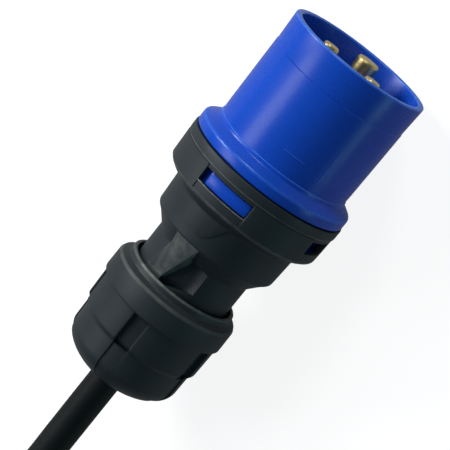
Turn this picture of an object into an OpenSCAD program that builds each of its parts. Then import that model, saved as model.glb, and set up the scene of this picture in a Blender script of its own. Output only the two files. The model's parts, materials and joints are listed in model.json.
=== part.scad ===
// Industrial pin and sleeve plug, 16 A, two poles and earth, with its rubber lead.
// It lies on its side: +X runs along the plug's axis towards the open shroud, +Z is up, and the
// floor is z = 0. Stations are distances behind the shroud's rim, in millimetres.

/* [Shroud] */
// Outer diameter of the shroud at its rim
shroud_d = 44; // [42:0.5:48]
// Wall of the shroud
shroud_wall = 2; // [1.5:0.1:2.5]
// Outer diameter of the shroud at its base
shroud_base_d = 42.8; // [41:0.2:43.6]
// Depth from the rim to the flange's cone
shroud_len = 35; // [30:0.5:42]
// Depth of the smooth band behind the rim
lip_len = 9.5; // [6:0.5:14]
// Width of the keying nose
key_w = 6.4; // [5:0.2:8]
// How far the top of the keying nose stands below the flange
key_drop = 0.2; // [0:0.05:1]

/* [Flange] */
// How far the flange stands below the rear housing's collar
flange_drop = 0.3; // [0:0.05:0.5]
// Length of the cone between shroud and flange
flange_cone = 2.4; // [1.5:0.1:4]
// Width of the flange's outer face
flange_w = 3.2; // [2.5:0.1:5]
// Shadow gap between the flange and the rear housing
joint_gap = 0.4; // [0.2:0.1:0.8]

/* [Contacts] */
// Diameter of the circle that the pins stand on
pin_circle_d = 17.5; // [16.5:0.1:18.5]
// Diameter of the two live pins
pin_d = 5; // [4.5:0.1:5.5]
// Diameter of the earth pin
earth_d = 7; // [6.5:0.1:7.5]
// Distance from the rim back to the live pins' tips
pin_setback = 1.5; // [0.5:0.1:6]
// Distance from the rim back to the earth pin's tip
earth_setback = 0.3; // [0.1:0.1:3]
// Diameter of the terminal block behind a live pin
terminal_d = 9; // [8.4:0.1:9.6]
// Length of a terminal block
terminal_len = 13; // [12:0.5:14]
// Diameter of a terminal screw's thread
screw_d = 3.2; // [2.8:0.1:3.6]

/* [Rear housing] */
// Diameter of the collar
collar_d = 51; // [50:0.2:53]
// Length of the collar
collar_len = 12.2; // [11.4:0.2:15]
// Wall of the rear housing
housing_wall = 2.1; // [1.8:0.1:2.3]
// Length of a latch window along the axis
window_len = 4.4; // [3.6:0.1:4.6]
// Angle that a latch window spans
window_deg = 40; // [30:1:46]
// Diameter of the barrel behind the collar
barrel_d = 40.8; // [40:0.2:43]
// Length of the barrel
barrel_len = 10.2; // [8:0.2:14]
// Length of the shoulder between barrel and neck
shoulder_len = 4.8; // [3:0.2:8]
// Diameter of the neck
neck_d = 30.6; // [30:0.1:31.6]
// Length of the neck in front of the gland nut
neck_show = 9.7; // [9:0.1:14]

/* [Gland] */
// Length of the gland nut
nut_len = 36.6; // [36:0.2:42]
// Diameter of the gland nut's front ring
ring_d = 40.4; // [39.8:0.1:43]
// Diameter across the gland nut's grip pads
pad_d = 38.8; // [37.6:0.1:39.6]
// Diameter of the gland nut's tail
tail_d = 35.6; // [35:0.1:37]
// Number of grip pads
pad_count = 5; // [3:1:6]
// Angle between two grip pads
groove_deg = 16; // [10:1:24]
// Length of the grip pads
pad_len = 10.6; // [8:0.2:12]
// Length of the thread that the gland nut turns on
thread_len = 11; // [9.6:0.2:12]

/* [Lead] */
// Diameter of the lead
cable_d = 9.8; // [9:0.1:10]
// Diameter of one insulated core
core_d = 2.9; // [2.4:0.1:3.2]

/* [Hidden] */
$fn = 96;

// Clearances
seat_gap = 0.2;      // between a piece and the seat that holds it
run_gap = 0.3;       // between pieces that move past each other
screw_gap = 0.1;     // between a screw's thread and its hole
eps = 0.01;          // lets a cut pass its face

// Stations behind the rim
flange_s = shroud_len + flange_cone;
flange_end_s = flange_s + flange_w;
collar_s = flange_end_s + joint_gap;
collar_end_s = collar_s + collar_len;
collar_round = 2.6;
barrel_s = collar_end_s + collar_round;
barrel_end_s = barrel_s + barrel_len;
neck_s = barrel_end_s + shoulder_len;
nut_s = neck_s + neck_show;
nut_end_s = nut_s + nut_len;

// Placement: the axis lies at the collar's radius above the floor
rim_x = nut_end_s / 2;
axis_z = collar_d / 2;

// Shroud
rim_r = shroud_d / 2;
base_r = shroud_base_d / 2;
bore_r = rim_r - shroud_wall;
bore_draft = 0.3;
lip_step = 0.15;
lip_taper = 0.4;
base_band = 1;
base_band_h = 0.25;
edge = 0.5;          // chamfer on moulded edges
key_draft = 0.6;
key_front = 0.6;

// Skirt of the shroud inside the collar
collar_r = collar_d / 2;
collar_bore_r = collar_r - housing_wall;
skirt_r = collar_bore_r - run_gap;
skirt_wall = 2;
skirt_bore_r = skirt_r - skirt_wall;
skirt_len = collar_len - 1.6;
flange_r = collar_r - flange_drop;
key_r = flange_r - key_drop;
window_setback = 4.2;
lug_h = 1.5;
lug_play = 0.4;      // axial play of a lug in its window
lug_deg = window_deg - 5;
lug_turn = 2;        // the lugs are turned towards one end of their windows
notch_extra_deg = 4;

// Pin carrier
carrier_s = shroud_len + 1;
carrier_lip = 1.6;
carrier_flange = 3.2;
carrier_disc = 5;
carrier_core_r = 16.4;
carrier_front_r = min(bore_r - bore_draft, skirt_bore_r) - seat_gap;
tower_wall = 1.4;
tower_len = terminal_len - 2;
carrier_back_s = carrier_s + carrier_lip + carrier_flange;

// Contacts
pin_circle_r = pin_circle_d / 2;
tip_chamfer = 0.9;
stem_extra = 1.2;    // the stem in the carrier is this much wider than the pin
earth_terminal_extra = 1.5;
stem_end_s = carrier_back_s + carrier_disc;
terminal_s = stem_end_s + seat_gap;
terminal_end_s = terminal_s + terminal_len;
wire_bore_r = 1.8;
wire_bore_len = 9;
screw_s = terminal_end_s - 5.5;
screw_head_r = 3.2;
screw_head_h = 1.8;
screw_slot = 0.8;
screw_slot_depth = 1;
ferrule_r = 1.4;
ferrule_len = 8;
ferrule_collar_r = 1.7;
ferrule_collar_len = 3.4;
ferrule_end_s = terminal_end_s + seat_gap + ferrule_collar_len;

// Lead inside the plug
cable_r = cable_d / 2;
core_r = core_d / 2;
lay_r = core_r / cos(30) + 0.05;   // the three cores lie round the lead's axis
strip_s = neck_s + 3.4;

// Neck and gland
neck_r = neck_d / 2;
neck_bore_r = neck_r - 3.8;
thread_root_r = neck_r - 1.4;
plain_end_s = nut_s + 3.5;
neck_end_s = plain_end_s + thread_len;
rib_r = skirt_bore_r - 2 * seat_gap;   // outside of the ribs that hold the pin carrier down
barrel_bore_r = min(barrel_d / 2 - housing_wall, rib_r - 0.5);
rib_bore_r = min(barrel_bore_r, rib_r - 1.5);
collar_back_wall = 1.2;
tongue_turn = 167;   // angle of the neck's tongue, from the bottom
tongue_r = min(barrel_d / 2 - 0.6, neck_r + 4.5);   // where the tongue leaves the barrel's edge
pocket_floor_r = neck_bore_r + 1.4;
hold_down_deg = 9;
cage_r = neck_bore_r - run_gap;
cage_bore_r = 8.2;
cage_len = 9;
cage_collar = 1.5;
finger_count = 8;
finger_slot = 1.4;
finger_len = 9.2;
finger_tip_r = 7.8;
finger_tip_bore_r = cable_r + 0.4;
cone_len = 9;
cone_r = neck_r - 2;
thread_bore_r = neck_r - run_gap;
cage_end_s = neck_end_s + seat_gap + cage_collar;
cone_s = cage_end_s + 1.4;
cone_end_s = cone_s + cone_len;
cable_hole_r = cable_r + 0.6;

// Gland nut
mouth_r = neck_r + 1;
bead_r = mouth_r + 1.3;
ring_r = ring_d / 2;
pad_r = pad_d / 2;
tail_r = tail_d / 2;
ring_s = nut_s + 3;
pad_s = nut_s + 10.7;
pad_end_s = pad_s + pad_len;
dome_len = 8.9;
dome_s = nut_end_s + 0.3 - dome_len;
dome_steps = 9;
pad_lift = 0.4;      // how far a pad's sector stands above the tail and the dome
groove_turn = 187;   // angle of one groove's middle, from the bottom

// Lead behind the plug: its route on the floor from the gland nut to the hank
lead_route = [[-92, 0, 25.3], [-102, 0.6, 24.3], [-112, 2.4, 21.8], [-122, 5.3, 17.8],
    [-132, 9, 13.4], [-142, 13.1, 9.4], [-152, 17.4, 6.6], [-162, 21.4, 5.2], [-172, 24.9, 4.9],
    [-182, 27.7, 4.9], [-190, 29.1, 4.9], [-195, 29.4, 4.9], [-199.1, 29.4, 4.9]];
straight_end_x = -84;  // the lead runs straight out of the nut to here
cord_sides = 12;
core_sides = 10;

// Hank: whole layers, and one on top that lacks the side on which the lead ends. The lead comes
// in under its front fold, where the lowest layer has no turn
hank_near_x = -165;
hank_len = 169.6;
hank_layers = 3;
hank_fold_r = 3 * cable_d;
hank_h = hank_layers * cable_d;
hank_top = hank_h + cable_d;
hank_front_x = hank_near_x - hank_fold_r - cable_r;
hank_back_x = hank_near_x - hank_len + hank_fold_r + cable_r;
tie_x = -228;
tie_w = 12;
tie_t = 0.6;
tie_gap = 0.1;       // between a tie and the hank inside it

// Stripped cores at the lead's free end, on top of the hank's whole layers
tail_core_len = 45;
tail_spread = 3.1;
tail_ferrule_len = 8;
tail_lift = 0.1;     // between the cores and the layer that they lie on

// Frames of reference

// Plug frame: +Z towards the open end from the rim, angle 0 at the bottom of the plug
module on_axis() {
    translate([rim_x, 0, axis_z]) rotate([0, 90, 0]) children();
}

// A contact's own frame, on the pin circle at an angle
module at_pin(angle) {
    rotate(angle) translate([pin_circle_r, 0, 0]) children();
}

// A straight cylinder between two stations
module rod(r, s_front, s_back) {
    translate([0, 0, -s_back]) cylinder(r = r, h = s_back - s_front);
}

// A ring sector between two radii and two stations
module sector(r_in, r_out, s_front, s_back, from_deg, span_deg) {
    rotate_extrude(angle = span_deg, start = from_deg)
        translate([r_in, -s_back]) square([r_out - r_in, s_back - s_front]);
}

// A closed profile given as [radius, station] pairs, turned about the axis
module turned(profile) {
    rotate_extrude() polygon([for (p = profile) [p[0], -p[1]]]);
}

// Tube along a list of points, as one swept solid

function unit(v) = v / norm(v);
function tangent(path, i) =
    unit(path[min(i + 1, len(path) - 1)] - path[max(i - 1, 0)]);
function side_of(t) = unit(cross(abs(t[2]) > 0.9 ? [0, 1, 0] : [0, 0, 1], t));
function tube_ring(c, t, r, sides) =
    let (u = side_of(t), v = cross(t, u))
    [for (k = [0 : sides - 1]) c + r * (cos(360 * k / sides) * u + sin(360 * k / sides) * v)];

// A point between b and c on the smooth curve that passes through a, b, c and d
function spline_point(a, b, c, d, t) =
    0.5 * (2 * b + (c - a) * t + (2 * a - 5 * b + 4 * c - d) * t * t
    + (3 * b - a - 3 * c + d) * t * t * t);
function smooth_path(p, steps) = [
    for (i = [0 : len(p) - 2]) for (k = [0 : steps - 1])
        spline_point(p[max(i - 1, 0)], p[i], p[i + 1], p[min(i + 2, len(p) - 1)], k / steps),
    p[len(p) - 1]];

module tube(path, r, sides) {
    n = len(path);
    points = [for (i = [0 : n - 1]) each tube_ring(path[i], tangent(path, i), r, sides)];
    walls = [for (i = [0 : n - 2]) for (k = [0 : sides - 1])
        let (a = i * sides + k, b = i * sides + (k + 1) % sides)
        [a, b, b + sides, a + sides]];
    near = [for (k = [sides - 1 : -1 : 0]) k];
    far = [for (k = [0 : sides - 1]) (n - 1) * sides + k];
    polyhedron(points, [near, far, each walls], convexity = 6);
}

// Front of the plug: shroud, flange and skirt in one moulding

module shroud_shell() {
    step_r = rim_r - lip_taper + lip_step;
    turned([
        [bore_r, 0.4], [bore_r + 0.4, 0], [rim_r - edge, 0], [rim_r, edge],
        [rim_r - lip_taper, lip_len], [step_r, lip_len + lip_step],
        [base_r, shroud_len - base_band], [base_r + base_band_h, shroud_len - base_band + 0.2],
        [base_r + base_band_h, shroud_len], [flange_r - edge, flange_s],
        [flange_r, flange_s + edge], [flange_r, flange_end_s - edge],
        [flange_r - edge, flange_end_s], [skirt_r, flange_end_s],
        [skirt_r, collar_s + skirt_len - edge], [skirt_r - edge, collar_s + skirt_len],
        [skirt_bore_r, collar_s + skirt_len], [skirt_bore_r, carrier_s + carrier_lip],
        [bore_r - bore_draft, carrier_s + carrier_lip]]);
}

module key_nose() {
    half_w = key_w / 2;
    translate([0, 0, -shroud_len - flange_cone / 2])
        linear_extrude(shroud_len + flange_cone / 2 - key_front)
            polygon([[base_r - shroud_wall / 2, -half_w], [key_r, key_draft - half_w],
                [key_r, half_w - key_draft], [base_r - shroud_wall / 2, half_w]]);
}

module latch_lug(angle) {
    window_s = collar_s + window_setback;
    sector(skirt_r - 0.5, skirt_r + lug_h, window_s + lug_play, window_s + window_len - lug_play,
        angle + lug_turn - lug_deg / 2, lug_deg);
}

module skirt_notch(angle) {
    notch_deg = window_deg + notch_extra_deg;
    sector(skirt_bore_r - 1, skirt_r + 1, collar_s + window_setback - 0.6,
        collar_s + collar_len, angle - notch_deg / 2, notch_deg);
}

module sleeve() {
    color("royalblue") on_axis() {
        difference() {
            union() {
                shroud_shell();
                key_nose();
            }
            skirt_notch(90);
            skirt_notch(270);
        }
        latch_lug(180);
        latch_lug(0);
    }
}

// Contacts and their carrier

module carrier_bore(angle, stem_r, block_r) {
    at_pin(angle) {
        rod(stem_r + seat_gap, 0, nut_s);
        rod(block_r + seat_gap, stem_end_s, nut_s);
        translate([0, 0, -screw_s]) rotate([0, 90, 0])
            cylinder(r = screw_head_r + seat_gap + 0.2, h = pin_circle_r);
    }
}

module pin_carrier() {
    live_r = terminal_d / 2;
    earth_r = live_r + earth_terminal_extra / 2;
    color("royalblue") on_axis() difference() {
        union() {
            rod(carrier_front_r, carrier_s, carrier_back_s);
            rod(skirt_bore_r - seat_gap, carrier_s + carrier_lip + seat_gap, carrier_back_s);
            rod(carrier_core_r, carrier_back_s - 1, stem_end_s);
            for (angle = [120, 240]) at_pin(angle)
                rod(live_r + seat_gap + tower_wall, stem_end_s - 1, stem_end_s + tower_len);
            at_pin(0) rod(earth_r + seat_gap + tower_wall, stem_end_s - 1, stem_end_s + tower_len);
        }
        carrier_bore(0, (earth_d + stem_extra) / 2, earth_r);
        carrier_bore(120, (pin_d + stem_extra) / 2, live_r);
        carrier_bore(240, (pin_d + stem_extra) / 2, live_r);
    }
}

// Pin with a chamfered tip, a wider stem and a terminal block with a wire bore and a screw hole
module contact(angle, d, setback, block_d) {
    r = d / 2;
    on_axis() at_pin(angle) difference() {
        union() {
            turned([[0, setback], [r - tip_chamfer, setback], [r, setback + 1.6 * tip_chamfer],
                [r, carrier_s + seat_gap], [0, carrier_s + seat_gap]]);
            rod((d + stem_extra) / 2, carrier_s + seat_gap - eps, terminal_s + eps);
            rod(block_d / 2, terminal_s, terminal_end_s);
        }
        rod(wire_bore_r, terminal_end_s - wire_bore_len, terminal_end_s + 1);
        translate([0, 0, -screw_s]) rotate([0, 90, 0])
            cylinder(r = screw_d / 2 + screw_gap, h = block_d);
    }
}

module live_pin() {
    color("goldenrod") contact(120, pin_d, pin_setback, terminal_d);
}

module neutral_pin() {
    color("goldenrod") contact(240, pin_d, pin_setback, terminal_d);
}

module earth_pin() {
    color("goldenrod") contact(0, earth_d, earth_setback, terminal_d + earth_terminal_extra);
}

// Slotted screw that presses the ferrule, with its head outside the block
module terminal_screw(angle, block_d) {
    head = block_d / 2 + seat_gap;
    on_axis() at_pin(angle) translate([0, 0, -screw_s]) rotate([0, 90, 0]) difference() {
        union() {
            translate([0, 0, ferrule_r + seat_gap]) cylinder(r = screw_d / 2, h = head);
            translate([0, 0, head]) cylinder(r = screw_head_r, h = screw_head_h);
        }
        translate([-screw_head_r - 1, -screw_slot / 2, head + screw_head_h - screw_slot_depth])
            cube([2 * screw_head_r + 2, screw_slot, screw_slot_depth + 3]);
    }
}

module live_terminal_screw() {
    color("silver") terminal_screw(120, terminal_d);
}

module neutral_terminal_screw() {
    color("silver") terminal_screw(240, terminal_d);
}

module earth_terminal_screw() {
    color("silver") terminal_screw(0, terminal_d + earth_terminal_extra);
}

// Wiring inside the plug

module ferrule(angle) {
    collar_front = terminal_end_s + seat_gap;
    on_axis() at_pin(angle) {
        rod(ferrule_r, collar_front - ferrule_len, collar_front + eps);
        rod(ferrule_collar_r, collar_front, ferrule_end_s);
    }
}

module live_ferrule() {
    color("dimgray") ferrule(120);
}

module neutral_ferrule() {
    color("dimgray") ferrule(240);
}

module earth_ferrule() {
    color("dimgray") ferrule(0);
}

// One core from the lead's stripped end out to its ferrule
module inner_core(angle) {
    bend = strip_s - ferrule_end_s;
    route = [for (p = [[pin_circle_r, 0], [pin_circle_r, 0.15], [pin_circle_r * 0.92, 0.3],
        [(pin_circle_r + lay_r) / 2, 0.5], [lay_r + pin_circle_r * 0.06, 0.75], [lay_r, 0.9], [lay_r, 1]])
        [p[0], 0, -(ferrule_end_s + seat_gap / 2 + p[1] * (bend - seat_gap))]];
    on_axis() rotate(angle) tube(smooth_path(route, 2), core_r, core_sides);
}

module live_core() {
    color("saddlebrown") inner_core(120);
}

module neutral_core() {
    color("deepskyblue") inner_core(240);
}

module earth_core() {
    color("yellowgreen") inner_core(0);
}

// The sheathed lead from its stripped end to the gland nut's hole
module lead_end() {
    color("dimgray") on_axis() rod(cable_r, strip_s, nut_end_s);
}

// Rear housing

module housing_solid() {
    back_r = collar_r - 0.6;
    barrel_r = barrel_d / 2;
    turned([
        [0, collar_s], [collar_r - edge, collar_s], [collar_r, collar_s + edge],
        [collar_r, collar_s + 3], [collar_r - 0.3, collar_s + 3.2],
        [back_r, collar_end_s - 0.4], [back_r - 0.8, collar_end_s + 0.6],
        [barrel_r, barrel_s], [barrel_r - 0.5, barrel_end_s - 0.6],
        [barrel_r - 1.1, barrel_end_s + 0.5], [barrel_r - 2, barrel_end_s + 1.2],
        [neck_r + 0.3, neck_s - 0.3], [neck_r, neck_s + 0.4], [neck_r, plain_end_s],
        [thread_root_r, plain_end_s], [thread_root_r, neck_end_s - edge],
        [thread_root_r - edge, neck_end_s], [0, neck_end_s]]);
}

module housing_bore() {
    turned([
        [0, collar_s - 1], [collar_bore_r, collar_s - 1],
        [collar_bore_r, collar_end_s - collar_back_wall],
        [barrel_bore_r, collar_end_s - collar_back_wall], [barrel_bore_r, barrel_end_s - 1],
        [neck_bore_r, neck_s], [neck_bore_r, neck_end_s + 1], [0, neck_end_s + 1]]);
}

// Low panel on the collar between two windows
module collar_panel(angle) {
    span = 90 - window_deg;
    sector(collar_bore_r + 0.5, collar_r - 0.05, collar_s + 2.2, collar_end_s - 0.7,
        angle + window_deg / 2, span);
}

module latch_window(angle) {
    sector(collar_bore_r - 1, collar_r + 1, collar_s + window_setback,
        collar_s + window_setback + window_len, angle - window_deg / 2, window_deg);
}

// A flat-topped block standing on the housing: outline in [across, station], seen from above
module standing_block(outline, bottom, top, turn) {
    rotate(turn) rotate([0, 90, 0]) translate([0, 0, bottom]) linear_extrude(top - bottom)
        polygon([for (p = outline) [p[1], p[0]]]);
}

// Tongue on the neck: a ramp from the barrel's rear edge that narrows towards the gland nut and
// steps down into its mouth
module neck_tongue() {
    step_s = nut_s - 1;
    end_s = plain_end_s - 0.4;
    intersection() {
        turned([[0, barrel_end_s - 1.6], [tongue_r, barrel_end_s - 1.6],
            [tongue_r, barrel_end_s - 0.6], [neck_r + 0.8, step_s - 0.3],
            [neck_r + 0.4, step_s], [neck_r + 0.4, end_s], [0, end_s]]);
        standing_block([[-0.8, barrel_end_s - 1.5], [8, barrel_end_s - 1.5], [1.6, step_s],
            [1.5, end_s], [-4.5, end_s], [-4.7, step_s], [-0.9, neck_s - 1.5]],
            pocket_floor_r - 0.4, barrel_d / 2, tongue_turn);
    }
}

// Pocket beside the tongue, deep next to it and sloping up to the neck's surface on its far side
module neck_pocket() {
    across = [-7.5, 0.9, 4.6];
    turn = tongue_turn + 30;
    intersection() {
        standing_block([[across[0], neck_s - 0.4], [0.2, neck_s - 0.4], [4.4, neck_s + 0.6],
            [4, nut_s - 2.4], [across[0], nut_s + 1.8]], pocket_floor_r, barrel_d / 2, turn);
        rotate(turn) translate([0, 0, -plain_end_s]) linear_extrude(plain_end_s - barrel_end_s)
            polygon([[pocket_floor_r, across[0]], [pocket_floor_r, across[1]],
                [neck_r + 0.2, across[2]], [barrel_d / 2, across[2]], [barrel_d / 2, across[0]]]);
    }
}

// Rib that reaches forward past the towers and holds the pin carrier on its seat
module hold_down_rib(angle) {
    shoulder_s = collar_end_s - collar_back_wall;
    sector(rib_bore_r, rib_r, carrier_back_s + seat_gap, shoulder_s + 0.5,
        angle - hold_down_deg / 2, hold_down_deg);
}

// Raised plate on the barrel behind the top window, with one slanted side
module barrel_plate() {
    intersection() {
        turned([[collar_bore_r - 6, barrel_s - 2], [barrel_d / 2 + 0.25, barrel_s - 2],
            [barrel_d / 2 + 0.25, barrel_s], [barrel_d / 2 - 0.25, barrel_end_s - 0.6],
            [barrel_d / 2 - 2, barrel_end_s + 0.9], [collar_bore_r - 6, barrel_end_s + 0.9]]);
        standing_block([[-7.2, barrel_s - 3], [8.2, barrel_s - 3], [1.6, barrel_end_s - 3],
            [1.6, neck_s], [-7.2, neck_s]], neck_bore_r, collar_r, 180);
    }
}

module rear_housing() {
    color("dimgray") on_axis() {
        difference() {
            union() {
                housing_solid();
                for (k = [0 : 3]) collar_panel(90 * k);
                barrel_plate();
                neck_tongue();
            }
            difference() {
                neck_pocket();
                neck_tongue();
            }
            housing_bore();
            for (k = [0 : 3]) latch_window(90 * k);
        }
        for (k = [0 : 3]) hold_down_rib(45 + 90 * k);
    }
}

// Gland

module cable_seal() {
    color("black") on_axis() turned([
        [cable_r + 0.1, neck_end_s - cage_len + 0.8], [cage_bore_r - run_gap, neck_end_s - cage_len + 0.8],
        [cage_bore_r - run_gap, cage_end_s], [cable_r + 0.1, cage_end_s + 1]]);
}

module cage_body() {
    turned([
        [cable_r + 0.8, neck_end_s - cage_len], [cage_r, neck_end_s - cage_len],
        [cage_r, neck_end_s + seat_gap], [thread_root_r, neck_end_s + seat_gap],
        [thread_root_r, cage_end_s], [cage_r - 0.2, cage_end_s],
        [finger_tip_r, cage_end_s + finger_len], [finger_tip_bore_r, cage_end_s + finger_len],
        [finger_tip_bore_r, cage_end_s + finger_len - 1], [cage_bore_r, cage_end_s],
        [cage_bore_r, neck_end_s - cage_len + 0.6], [cable_r + 0.8, neck_end_s - cage_len + 0.6]]);
}

module clamping_cage() {
    color("gainsboro") on_axis() difference() {
        cage_body();
        for (k = [0 : finger_count - 1]) rotate(360 * k / finger_count)
            translate([2, -finger_slot / 2, -cage_end_s - finger_len - 1])
                cube([cage_r + 4, finger_slot, finger_len + 0.6]);
    }
}

module clamping_cone() {
    slope = (cage_r - 0.2 - finger_tip_r) / finger_len;
    front_r = cage_r - 0.2 - slope * (cone_s - cage_end_s) + run_gap;
    color("gainsboro") on_axis() turned([
        [front_r, cone_s], [cone_r - run_gap, cone_s], [cone_r - run_gap, cone_end_s],
        [front_r - slope * cone_len, cone_end_s]]);
}

// Point on the nut's dome at an angle, swelled by a lift
function dome_point(a, lift) = [(tail_r + lift) * cos(a), dome_s + (dome_len + lift / 2) * sin(a)];
function dome_arc(lift, last) = [for (k = [0 : dome_steps]) dome_point(last * k / dome_steps, lift)];

module nut_solid() {
    hole_deg = acos(cable_hole_r / tail_r);
    dome_end = min(hole_deg, asin((nut_end_s - dome_s) / dome_len));
    turned(concat(
        [[0, nut_s], [mouth_r + 0.4, nut_s], [bead_r - 0.2, nut_s + 0.4], [bead_r, nut_s + 1.2],
            [bead_r - 0.1, nut_s + 2.1], [bead_r + 0.1, nut_s + 2.5], [ring_r - 0.7, ring_s],
            [ring_r - 0.15, ring_s + 0.9], [ring_r, ring_s + 3], [ring_r, pad_s - 0.6],
            [ring_r - 0.3, pad_s - 0.1], [tail_r, pad_s]],
        dome_arc(0, dome_end), [[0, nut_end_s]]));
}

module grip_pad(angle) {
    span = 360 / pad_count - groove_deg;
    last = 80;
    rotate_extrude(angle = span, start = angle + groove_deg / 2)
        polygon([for (p = concat(
            [[tail_r - 1.4, pad_s - 0.4], [pad_r, pad_s - 0.4], [pad_r - 0.1, pad_end_s - 0.3],
                [pad_r - 0.4, pad_end_s], [tail_r + pad_lift, pad_end_s + 0.2]],
            dome_arc(pad_lift, last),
            [for (a = [last, 40, 0]) [(tail_r - 1.4) * cos(a), dome_s + (dome_len - 1) * sin(a)]]))
            [p[0], -p[1]]]);
}

module nut_bore() {
    shelf_s = cage_end_s + seat_gap + 0.3;
    turned([
        [0, nut_s - 1], [mouth_r + 0.5, nut_s - 1], [mouth_r, nut_s + 0.5],
        [mouth_r, plain_end_s + seat_gap], [thread_bore_r, plain_end_s + run_gap],
        [thread_bore_r, shelf_s], [cone_r, shelf_s], [cone_r, cone_end_s + run_gap],
        [cable_hole_r + 4, cone_end_s + run_gap], [cable_hole_r, cone_end_s + 6],
        [cable_hole_r, nut_end_s + 1], [0, nut_end_s + 1]]);
}

module gland_nut() {
    color("dimgray") on_axis() difference() {
        union() {
            nut_solid();
            for (k = [0 : pad_count - 1]) grip_pad(groove_turn + 360 * k / pad_count);
        }
        nut_bore();
    }
}

// Lead behind the plug: a free stretch and a tied hank, on the floor

module lead() {
    start_x = rim_x - nut_end_s;
    straight = [for (k = [0 : 2]) [start_x + k * (straight_end_x - start_x) / 2, 0, axis_z]];
    color("dimgray") tube(concat(straight, lead_route), cable_r, cord_sides);
}

module hank_outline(r) {
    translate([hank_front_x, 0]) circle(r = r);
    translate([hank_back_x, 0]) circle(r = r);
    translate([hank_back_x, -r]) square([hank_front_x - hank_back_x, 2 * r]);
}

module lead_hank() {
    outer_r = hank_fold_r + cable_r;
    inner_r = hank_fold_r - cable_r;
    color("dimgray") difference() {
        linear_extrude(hank_top) difference() {
            hank_outline(outer_r);
            hank_outline(inner_r);
        }
        translate([hank_back_x, -outer_r - 1, hank_h])
            cube([hank_front_x - hank_back_x, cable_d + 1 + eps, cable_d + 1]);
        translate([hank_front_x, 0, -1])
            cube([outer_r + 1, outer_r + 1, cable_d + tie_gap + 1]);
        for (side = [-1, 1]) translate([tie_x, side * hank_fold_r, 0])
            cube([tie_w + 2 * tie_gap, cable_d + 1, 2 * tie_t + 2 * tie_gap], center = true);
    }
}

// Strap round one side of the hank, let into the hank where it passes underneath
module hank_tie(side, height) {
    inside = cable_d + 2 * tie_gap;
    color("black") translate([tie_x - tie_w / 2, side * hank_fold_r - inside / 2, 0]) difference() {
        translate([0, -tie_t, 0]) cube([tie_w, inside + 2 * tie_t, height + tie_gap + tie_t]);
        translate([-1, 0, tie_t]) cube([tie_w + 2, inside, height + tie_gap - tie_t]);
    }
}

module hank_tie_left() {
    hank_tie(1, hank_top);
}

module hank_tie_right() {
    hank_tie(-1, hank_h);
}

// Stripped core at the lead's free end: it fans out and settles on the layer below
module tail_core(offset) {
    front_z = hank_h + cable_r;
    rest_z = hank_h + tail_lift + core_r;
    spread = tail_spread - core_d;
    route = [for (p = [[0, 0, 0], [0.1, 0, 0.1], [0.25, 0.3, 0.7], [0.4, 0.8, 1], [0.55, 1, 1],
        [0.8, 1, 1], [1, 1, 1]])
        [hank_back_x + seat_gap + p[0] * tail_core_len,
            offset * (core_d + p[1] * spread) - hank_fold_r, front_z + p[2] * (rest_z - front_z)]];
    tube(smooth_path(route, 2), core_r, core_sides);
}

module tail_core_brown() {
    color("saddlebrown") tail_core(1);
}

module tail_core_blue() {
    color("deepskyblue") tail_core(0);
}

module tail_core_earth() {
    color("yellowgreen") tail_core(-1);
}

module tail_ferrule(offset) {
    color("silver")
        translate([hank_back_x + 2 * seat_gap + tail_core_len, offset * tail_spread - hank_fold_r,
            hank_h + tail_lift + core_r])
            rotate([0, 90, 0]) cylinder(r = ferrule_r, h = tail_ferrule_len);
}

module tail_ferrule_brown() {
    tail_ferrule(1);
}

module tail_ferrule_blue() {
    tail_ferrule(0);
}

module tail_ferrule_earth() {
    tail_ferrule(-1);
}

sleeve();
pin_carrier();
live_pin();
neutral_pin();
earth_pin();
live_terminal_screw();
neutral_terminal_screw();
earth_terminal_screw();
live_ferrule();
neutral_ferrule();
earth_ferrule();
live_core();
neutral_core();
earth_core();
lead_end();
rear_housing();
cable_seal();
clamping_cage();
clamping_cone();
gland_nut();
lead();
lead_hank();
hank_tie_left();
hank_tie_right();
tail_core_brown();
tail_core_blue();
tail_core_earth();
tail_ferrule_brown();
tail_ferrule_blue();
tail_ferrule_earth();
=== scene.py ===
"""Looks of the industrial pin and sleeve plug: moulded shells, brass pins, gland and rubber lead.

Lengths in the classes are millimetres, in the plug's own terms: a station is a distance behind the
shroud's rim, and an angle is counted round the plug's axis from its underside towards +Y.
"""

import json
import logging
import math
from dataclasses import dataclass, field, replace
from enum import Enum
from typing import Callable, Sequence

import bpy
from mathutils import Matrix, Vector


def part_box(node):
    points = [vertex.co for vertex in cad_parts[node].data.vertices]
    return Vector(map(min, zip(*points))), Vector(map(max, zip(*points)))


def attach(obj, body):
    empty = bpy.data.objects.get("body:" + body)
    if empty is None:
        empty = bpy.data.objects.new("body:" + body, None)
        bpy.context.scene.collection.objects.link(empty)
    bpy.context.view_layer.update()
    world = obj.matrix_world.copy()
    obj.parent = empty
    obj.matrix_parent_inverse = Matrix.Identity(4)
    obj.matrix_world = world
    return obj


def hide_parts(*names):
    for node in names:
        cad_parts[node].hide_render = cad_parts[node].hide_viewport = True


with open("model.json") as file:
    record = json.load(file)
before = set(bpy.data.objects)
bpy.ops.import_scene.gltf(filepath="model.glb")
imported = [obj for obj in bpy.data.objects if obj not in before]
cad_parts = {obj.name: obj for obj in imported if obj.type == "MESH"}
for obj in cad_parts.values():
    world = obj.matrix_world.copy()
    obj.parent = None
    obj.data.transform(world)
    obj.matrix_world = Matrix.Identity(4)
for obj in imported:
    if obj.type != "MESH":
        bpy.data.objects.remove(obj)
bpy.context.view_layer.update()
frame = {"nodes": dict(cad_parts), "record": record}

MM = 0.001
DOUBLES = 0.001 * MM
FACING = 0.2
ARC_REACH = 0.48
THREAD_PITCH = 2.5
THREAD_FOOT = 0.95
THREAD_TOP = 0.25
THREAD_STEPS = 64
LOG = logging.getLogger("plug")
Corner = tuple[float, float, float]
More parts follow.
